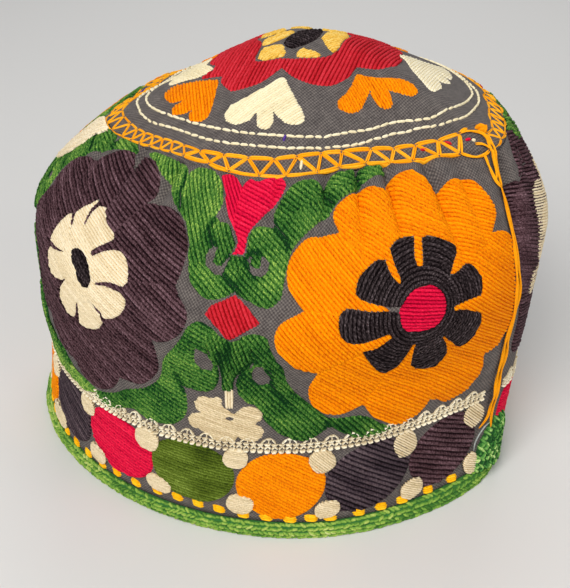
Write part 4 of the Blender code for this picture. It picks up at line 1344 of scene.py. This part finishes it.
def stitchCrown():
    white = {"pitch": 0.9, "height": 0.5, "fray": 0.35}
    orange = {"pitch": 1.05, "fray": 0.3}
    fillCrown("scarlet", [crown["flower"], crown["flowerHole"]], -68, 1.25, tone=0.42, toneSpread=0.14)
    for petal in crown["petals"]:
        fillCrown("gold", [petal], -30, tone=0.62, fray=0.3)
    fillCrown("black", [crown["centre"]], 40, 1.2, tone=0.4)
    fillCrown("white", [crown["frontTrefoil"]], -35, **white)
    fillCrown("orange", [crown["orangeRight"]], 62, **orange)
    fillCrown("white", [crown["whiteRight"]], -70, tone=0.75, **white)
    fillCrown("orange", [crown["orangeLeft"]], 84, **orange)
    fillCrown("white", [crown["whiteLeft"]], 60, **white)
    for azimuth, reach, size, thread in crown["backTrefoils"]:
        trefoil = turned(crown["backTrefoil"] * size - (0, reach), azimuth)
        fillCrown(thread, [trefoil], 35 - azimuth)


stitchCrown()
for name in threads:
    for region, rows in (("wall", wallRows[name]), ("crown", crownRows[name])):
        if rows:
            arrayPiece(f"{region}_{name}", rows, threadMaterials[name])
print("embroidery made")

# Rim: a green braid of short uneven stitches over the folded edge

edging = {  # sections and face: reach from the cloth, height
    "section": ((-3.4, 0.0), (0.3, 0.0), (1.1, 1.2), (1.4, 3.0), (1.0, 4.7), (0.2, 5.7), (-3.0, 5.7), (-3.6, 3.0)),
    "face": np.array(((0.3, 0.0), (1.1, 1.2), (1.4, 3.0), (1.0, 4.7), (0.2, 5.7), (-1.0, 6.1))),
    "rows": (0.95, 2.6, 4.2, 5.8),  # mm round the face from its foot
    "pitch": 1.7,
    "stitch": (0.7, 1.3, 0.8, 0.3),  # half length in pitches, width, height, spread of the heights
    "coreSegments": 400,
    "threads": ("#3c6a2c", "#628e38", "#84a846", "#a4ba58", "#c6ce88"),
    "core": "#2f6a2b",
}


def onEdging(u, w, lift):  # w runs round the braid's face from its foot
    face = edging["face"]
    reach = np.concatenate(((0,), np.cumsum(np.hypot(*np.diff(face, axis=0).T))))
    u, w, lift = np.broadcast_arrays(np.asarray(u, float), np.asarray(w, float), np.asarray(lift, float))

    def faceAt(w):
        return np.interp(w, reach, face[:, 0]), np.interp(w, reach, face[:, 1])

    out, height = faceAt(w)
    ahead, behind = faceAt(np.minimum(w + 0.6, reach[-1])), faceAt(np.maximum(w - 0.6, 0))
    slopeOut, slopeUp = ahead[0] - behind[0], ahead[1] - behind[1]
    size = np.hypot(slopeOut, slopeUp)
    normalOut, normalUp = slopeUp / size, -slopeOut / size
    points, normal = onWall(u, np.maximum(height, 0) + np.maximum(normalUp * lift, -height), 0)
    flat = unit(normal * (1, 1, 0))
    points = points + flat * (out + normalOut * lift)[..., None]
    points[..., 2] = np.maximum(points[..., 2], 0.02)
    return points, flat * normalOut[..., None] + np.array((0, 0, 1)) * normalUp[..., None]


def makeEdgingCore():  # a closed tube round the whole girth, seen between the braid's stitches
    section = np.array(edging["section"])

    def place(a, b):
        out, height = section[np.rint(b * len(section)).astype(int) % len(section)].T
        points, normal = onWall(a * girth, height)
        return points + unit(normal * (1, 1, 0)) * out[:, None]

    mesh = gridMesh("edging_core", (edging["coreSegments"], len(section)), place)
    linkPiece("edging_core", mesh, plainMaterial("edging_coreCotton", edging["core"], 0.95), "rim_edging")


def braidEdging():
    count = round(girth / edging["pitch"])
    pitch = girth / count
    half, width, height, spread = edging["stitch"]
    parts = []
    for k, row in enumerate(edging["rows"]):
        u = (np.arange(count) + 0.5 * (k % 2)) * pitch
        jitter = random.rand(3, count) - 0.5
        lean = 0.9 * (random.rand(count) - 0.5) + 0.35 * (-1) ** k
        starts = np.stack((u - half * pitch + 0.5 * jitter[0], row - lean + 0.4 * jitter[1]), axis=1)
        ends = np.stack((u + half * pitch + 0.5 * jitter[2], row + lean + 0.4 * jitter[1]), axis=1)
        tone = 0.56 - 0.06 * k - 0.14 * np.sin(u / cap["girthRadius"])  # duller upwards, and darker to the right as painted shade
        tone = tone + 0.5 * (smoothNoise(u / 19.0, k * 0.4 + 2) - 0.5) + 0.5 * (random.rand(count) - 0.5)
        parts += stitches(onEdging, starts, ends, width, height + spread * random.rand(count), tone)
    arrayPiece("edging_braid", parts, threadMaterial("edgingBraidCotton", edging["threads"], fleckAndGlint=0.32))


makeEdgingCore()
braidEdging()

# Lace: a crocheted line over the seam between wall and band, with small picots above it

lace = {
    "pitch": 2.25,
    "picot": 6.7,
    "threads": ("#97866a", "#cbb894", "#ece0c2", "#f8f0d8", "#fffbee"),
    "v": 38.2,
    "gap": (75.5, 84.5),  # u where the seam cord crosses
    "wave": 0.3,
    "toneSpread": 0.3,
}


def crochetLace():
    def along(pitch, start, margins, tone, seed):  # where the loops of a row start, how it waves, and its tones
        count = round(girth / pitch)
        u = np.arange(count) * girth / count + start
        u = u[(u < lace["gap"][0] - margins[0]) | (u > lace["gap"][1] + margins[1])]
        wave = lace["wave"] * (smoothNoise(u / 6.0, 4.0) - 0.5)
        return u, lace["v"] + wave, tone + lace["toneSpread"] * (smoothNoise(u * 0.9, seed) - 0.5)

    def row(places, start, end, width, height, bow=0.0):  # one stitch of every loop, between offsets in u and v
        u, v, tone = places
        starts, ends = (np.stack((u + offset[0], v + offset[1]), axis=1) for offset in (start, end))
        return stitches(onWall, starts, ends, width, height, tone, bow)

    step = girth / round(girth / lace["pitch"])
    loops = along(lace["pitch"], 0.0, (0, 0), 0.55, 8.0)
    parts = row(loops, (0.15, -0.5), (step - 0.15, -0.3), 1.35, 1.3)
    parts += row(loops, (0.1, 0.6), (step * 0.55, 2.0), 0.6, 1.1)
    parts += row(loops, (step * 0.5, 2.0), (step * 1.0, 0.7), 0.6, 1.0)
    parts += row(loops, (-0.1, 2.4), (step * 0.95, 2.7), 0.6, 1.05)
    picots = along(lace["picot"], 1.0, (3, 1), 0.6, 3.0)
    parts += row(picots, (0.0, 2.7), (1.6, 4.7), 0.6, 0.95, 0.2)
    parts += row(picots, (1.4, 4.7), (3.4, 4.8), 0.7, 0.95, 0.2)
    parts += row(picots, (3.2, 4.8), (4.8, 2.7), 0.6, 0.95, 0.2)
    parts += row(picots, (2.5, 2.8), (2.4, 4.4), 0.5, 0.8)
    arrayPiece("lace_line", parts, threadMaterial("laceCotton", lace["threads"]), "lace_trim")


crochetLace()

# Ladder: yellow-orange herringbone over the crown seam, and the seam cord that hangs from its corner

ladder = {
    "threads": ("#c86a00", "#ee9208", "#fdac18", "#ffba34", "#ffd068"),
    "feet": (  # azimuth and q of the outer vertices, from the left round to the corner
        (-68.5, 0.1), (-62.7, 0.3), (-58.7, 0.6), (-55.3, 0.6), (-51.7, 1.1), (-47.8, 1.2), (-44.1, 1.7), (-39.0, 1.9),
        (-30.4, 1.7), (-24.0, 0.4), (-15.3, -0.2), (-8.2, 0.1), (0.5, 0.6), (7.4, 1.2), (16.5, 1.0), (25.0, 0.1),
        (32.3, -0.3), (40.7, 0.5), (46.2, 0.7),
    ),
    "tops": (  # and of the inner ones between them
        (-65.0, 5.0), (-60.6, 4.4), (-57.0, 4.3), (-53.5, 4.2), (-49.8, 4.4), (-46.0, 4.7), (-41.6, 4.8), (-35.1, 4.5),
        (-27.4, 5.0), (-19.9, 5.0), (-12.3, 5.1), (-5.6, 5.9), (2.1, 6.1), (9.2, 5.5), (20.2, 4.8), (28.5, 3.8),
        (36.1, 4.3), (43.6, 5.8), (51.0, 8.0),
    ),
    "start": 56.5,  # azimuth where the ladder goes on beyond the corner
    "step": 5.6,  # degrees
    "width": 5.2,
    "arc": 67.0,  # turns azimuth into mm along the seam
    "strand": 0.64,  # width of one thread
    "apart": 0.28,  # from a double thread's middle to each strand's
    "height": 0.85,
    "flank": -47.0,  # mm along the seam, beyond which the stitches are finer
    "fine": 0.62,
    "taper": (1.8, 6.0, 9.0),  # mm narrower beside the corner, degrees from it, half width in degrees
    "drop": (3.4, 90.0, 8.0, 180.0, 20.0),  # mm over the wall's edge, from, rise, to and fall in degrees
    "blend": 0.6,  # mm on both sides of the seam over which crown and wall meet
    "cornerThread": (1.25, 1.0, 24.0),  # width, thickness, mm a turn
    "corner": (  # laid double threads where the ladder meets the seam cord: azimuth, q, lift
        ((46.2, 0.7, 0.7), (47.2, -0.6, 0.8), (49.2, -1.6, 0.8), (51.6, -1.1, 0.9), (53.4, 0.1, 0.8)),
        ((51.0, 8.0, 0.7), (52.6, 8.7, 0.9), (54.2, 9.3, 0.7)),
        ((50.6, 7.9, 0.7), (52.9, 8.2, 0.9), (55.2, 7.3, 0.9), (56.8, 6.0, 0.9), (56.5, 3.8, 0.9), (54.6, 1.4, 1.1),
         (53.5, -2.5, 1.1), (53.3, -7.5, 0.9), (52.0, -10.6, 0.9)),
        ((51.8, 3.2, 0.6), (53.3, 2.7, 0.9), (53.9, 0.6, 1.2), (53.8, -3.0, 1.1), (53.8, -7.5, 0.9), (53.8, -13, 0.9)),
        ((51.4, -1.0, 0.8), (51.3, -4.5, 0.9), (51.7, -8.5, 0.9), (52.3, -11.0, 0.9), (53.6, -13.2, 0.9)),
        ((57.4, 4.4, 0.7), (56.0, 2.0, 1.0), (55.2, -0.6, 1.2), (54.6, -4.0, 1.1), (54.3, -9.0, 0.9),
         (53.9, -13, 0.9)),
    ),
}


def onSeam(a, q, lift):  # a runs along the crown seam, q from it towards the tip, or down the wall below 0
    a, q, lift = np.broadcast_arrays(np.asarray(a, float), np.asarray(q, float), np.asarray(lift, float))
    azimuth = np.degrees(a / ladder["arc"])
    angle = np.radians(azimuth)
    inset, blend = 0.3, ladder["blend"]
    radius = crownEdge(azimuth) - np.maximum(q, inset)
    over, overNormal = onCrown(radius * np.sin(angle), -radius * np.cos(angle), lift)
    under, underNormal = onWall(angle * cap["girthRadius"], seamV + np.minimum(q, -inset), lift)
    share = np.clip((q + blend) / (2 * blend), 0, 1)[..., None]
    return under * (1 - share) + over * share, unit(underNormal * (1 - share) + overNormal * share)


def ladderVertices():
    step, firstFoot = ladder["step"], ladder["feet"][0][0]
    azimuth = np.arange(ladder["start"] - 360, firstFoot - 0.6 * step, step)
    azimuth = azimuth + 0.12 * step * np.sin(azimuth * 1.7)
    narrower, ahead, halfWidth = ladder["taper"]
    near = narrower * np.exp(-((azimuth - azimuth[0] - ahead) / halfWidth) ** 2)
    depth, start, rise, end, fall = ladder["drop"]
    around = azimuth + 360
    dropped = depth * np.clip((around - start) / rise, 0, 1) * np.clip((end - around) / fall, 0, 1)
    feet = np.vstack((np.stack((azimuth, near - dropped - 0.5 + 0.4 * np.sin(azimuth * 2.3)), axis=1),
                      ladder["feet"]))
    between = (azimuth + np.append(azimuth[1:], firstFoot)) / 2
    width = ladder["width"] - dropped + 0.4 * np.sin(between * 1.9)
    tops = np.vstack((np.stack((between, width), axis=1), ladder["tops"]))
    toMm = np.array((math.pi / 180 * ladder["arc"], 1.0))
    return feet * toMm, tops * toMm


def double(place, starts, ends, spread, **details):  # two threads side by side
    across = sideways(starts, ends)
    parts = []
    for sign in (-1, 1):
        shift = across * spread * sign
        wander = 0.3 * (random.rand(len(starts), 2) - 0.5)
        tone = 0.55 + 0.3 * (random.rand(len(starts)) - 0.5)
        parts += stitches(place, starts + shift + wander, ends + shift - wander, tone=tone, **details)
    return parts


def stitchLadder():
    lower, upper = ladderVertices()
    parts = []
    for starts, ends, bow in ((lower[:-1], lower[1:], -0.2), (upper[:-1], upper[1:], 0.15), (lower, upper, 0.0),
                              (upper[:-1], lower[1:], 0.15)):
        for flank in (False, True):
            chosen = (starts[:, 0] < ladder["flank"]) == flank
            share = ladder["fine"] if flank else 1.0
            parts += double(onSeam, starts[chosen], ends[chosen], ladder["apart"] * share, bow=bow,
                            width=ladder["strand"] * share, height=ladder["height"] * share, rings=8)
    width, thickness, twist = ladder["cornerThread"]
    for line in ladder["corner"]:
        line = [(azimuth * math.pi / 180 * ladder["arc"], q, lift) for azimuth, q, lift in line]
        parts += laidThread(onSeam, line, width, thickness, twist=twist)
    return parts


seam = {
    "knot": (55.6, -33.0),  # on the crown chart
    "knotHeights": (1.8, 2.1, 1.9, 1.5, 2.2),
    "knotThreads": (  # start and end from its middle
        ((-2.3, -0.9), (1.7, 1.0)), ((-2.0, 0.0), (2.0, 0.1)), ((-1.7, 0.9), (1.6, -0.9)), ((-1.2, -1.3), (1.9, -0.5)),
        ((0.9, -1.4), (1.3, 1.5)),
    ),
    "cord": {"width": 1.45, "thickness": 1.1, "twist": 26.0, "tone": 0.42},
    "cords": (  # u, v and lift of the two cords that hang down the seam
        ((82.4, 119.4, 0.9), (83.6, 113.0, 0.9), (83.7, 108.5, 0.9), (84.0, 102.0, 0.9), (83.7, 95.0, 0.9),
         (83.6, 88.5, 0.9), (83.2, 83.0, 0.9), (81.7, 79.0, 0.9), (79.8, 75.5, 0.9), (78.0, 70.0, 0.9),
         (77.2, 64.0, 0.9), (77.9, 57.5, 0.9), (78.7, 52.0, 0.9), (79.9, 47.0, 0.9), (80.6, 42.5, 1.5),
         (81.0, 37.5, 1.9), (81.4, 32.0, 1.1), (81.5, 27.0, 1.2), (81.5, 23.4, 1.9)),
        ((82.3, 119.2, 0.9), (82.5, 112.0, 0.9), (82.6, 102.0, 0.9), (82.1, 96.0, 0.9), (81.8, 91.0, 0.9),
         (81.2, 86.0, 0.9), (80.0, 80.0, 0.9), (78.4, 73.5, 0.9), (76.8, 68.0, 0.9), (75.8, 62.5, 0.9),
         (76.1, 57.0, 0.9), (77.2, 50.5, 0.9), (78.9, 43.5, 1.3), (79.6, 38.5, 1.9), (80.0, 33.0, 1.0),
         (79.8, 28.5, 0.9), (78.3, 26.0, 0.8), (76.8, 24.4, 0.6)),
    ),
}


def layCords():  # the two that hang down the seam
    return [part for line in seam["cords"] for part in laidThread(onWall, line, **seam["cord"])]


def tieKnot():  # a small tight knot at the corner
    starts, ends = (np.array(seam["knot"]) + np.array(side) for side in zip(*seam["knotThreads"]))
    return stitches(onCrown, starts, ends, 1.5, seam["knotHeights"], 0.3, 0.25)


arrayPiece("seam_threads", stitchLadder() + layCords() + tieKnot(),
           threadMaterial("ladderCotton", ladder["threads"], fleckAndGlint=0.16, paintedGrooveShade=0.12), "seam_cord")


def stitchRings():
    stitch, gap = crown["ringStitch"]
    parts = []
    for ring in crown["rings"]:
        azimuth = np.arange(0, 360, 0.5)
        radius = crownEdge(azimuth) - np.interp(azimuth, *zip(*ring), period=360)
        x, y = radius * np.sin(np.radians(azimuth)), -radius * np.cos(np.radians(azimuth))
        x, y = np.append(x, x[0]), np.append(y, y[0])
        length = np.concatenate(((0,), np.cumsum(np.hypot(np.diff(x), np.diff(y)))))
        count = round(length[-1] / (stitch + gap))
        at = np.arange(count) * length[-1] / count
        size = stitch * (0.85 + 0.3 * random.rand(count))
        starts, ends = (np.stack((np.interp(place, length, x), np.interp(place, length, y)), axis=1)
                        for place in (at, at + size))
        wander = 0.45 * (random.rand(count, 2) - 0.5)
        tone = 0.6 + 0.25 * (random.rand(count) - 0.5)
        parts += stitches(onCrown, starts + wander, ends - wander, *crown["ringThread"], tone)
    arrayPiece("crown_rings", parts, threadMaterials["white"])


stitchRings()

# Tab: the end of the green braid, crocheted up over the foot of the seam

tab = {
    "u": 84.4,
    "halfWidth": 8.4,  # at its foot
    "lean": 3.2,
    "narrowing": 0.58,  # share of the half width lost at its top
    "v": (6.0, 24.5),
    "depth": 3.3,
    "topRound": 4.0,  # mm over which it falls to the cloth at its top
    "rows": (14, 1.36),  # how many, mm from one to the next
    "coreSegments": (14, 18),
    "threads": ("#1f4a22", "#3f7a34", "#66984a", "#8cb45c", "#c4d890"),
}


def tabAt(rise):  # its middle and half width, from 0 at its foot to 1 at its top
    return tab["u"] + tab["lean"] * rise ** 1.5, tab["halfWidth"] * (1 - tab["narrowing"] * rise ** 2)


def onTab(u, v, lift=0.0):
    u, v = np.asarray(u, float), np.asarray(v, float)
    low, high = tab["v"]
    rise = np.clip((v - low) / (high - low), 0, 1)
    middle, half = tabAt(rise)
    side = np.clip(1 - ((u - middle) / half) ** 2, 0, 1)
    top = np.clip((high - v) / tab["topRound"], 0, 1)
    bump = tab["depth"] * np.sqrt(side) * np.sqrt(top * (2 - top)) * (0.72 + 0.28 * (1 - rise))
    return onWall(u, v, bump + lift)


def crochetTab():
    low, high = tab["v"]

    def place(a, b):
        middle, half = tabAt(b)
        return onTab(middle + (a - 0.5) * 2 * half, low + (high - low) * b)[0]

    mesh = gridMesh("tab_core", tab["coreSegments"], place)
    linkPiece("tab_core", mesh, plainMaterial("tabCoreCotton", tab["threads"][0], 0.95), "edging_knot")
    starts, ends, tones = [], [], []
    rows, pitch = tab["rows"]
    for row in range(rows):
        v = low + 0.2 + row * pitch
        middle, half = tabAt((v - low) / (high - low))
        count = max(3, round(half * 1.25))
        for k in range(count):
            u = middle + (k / (count - 1) - 0.5) * 2 * (half - 0.7)
            lean = 0.55 if (k + row) % 2 else -0.55
            jitter = 0.6 * (random.rand(4) - 0.5)
            starts.append((u - lean + jitter[0], v - 0.9 + jitter[1]))
            ends.append((u + lean + jitter[2], v + 1.1 + jitter[3]))
            tones.append(0.5 + 0.85 * (random.rand() - 0.5) + 0.5 * (smoothNoise(u / 4.0, v / 5.0) - 0.5))
    parts = stitches(onTab, starts, ends, 1.25, 0.9, tones)
    arrayPiece("tab_stitches", parts, threadMaterial("tabCotton", tab["threads"], fleckAndGlint=0.5))


crochetTab()

# Stray ends: a pale loop over the tab and a few snipped bits caught in the seam

strays = {
    "loop": ((75.9, 15.0, 0.6), (75.6, 18.6, 1.0), (76.6, 22.0, 1.3), (78.6, 24.8, 1.5), (80.8, 25.4, 1.5)),
    "loopThreads": ("#5d6360", "#858b87", "#a3a8a3", "#bfc2bc", "#dcddd6"),
    "bits": (  # crown chart: start, end, thread
        ((49.2, -40.2), (51.2, -39.2), "crimson"), ((51.4, -39.4), (52.8, -39.3), "white"),
        ((42.0, -42.2), (44.6, -42.4), "scarlet"), ((34.0, -45.6), (36.6, -45.0), "scarlet"),
        ((-4.6, -60.4), (-3.9, -57.0), "white"), ((-9.6, -51.8), (-8.8, -49.6), "violet"),
        ((-58.6, 13.5), (-60.2, 8.5), "violet"),
    ),
    "violet": ("#2c1a52", "#43287a", "#5a3d92", "#7658a8", "#9c86c4"),
}


def addStrays():
    parts = laidThread(onWall, strays["loop"], 0.55, 0.5, plies=1)
    arrayPiece("pale_loop", parts, threadMaterial("paleLoopCotton", strays["loopThreads"]))
    for k, (start, end, thread) in enumerate(strays["bits"]):
        parts = stitches(onCrown, [start], [end], 1.0, 0.8)
        material = threadMaterials.get(thread) or threadMaterial(thread + "Cotton", strays[thread])
        arrayPiece(f"thread_bit_{k + 1}", parts, material)


addStrays()
print("trims made")
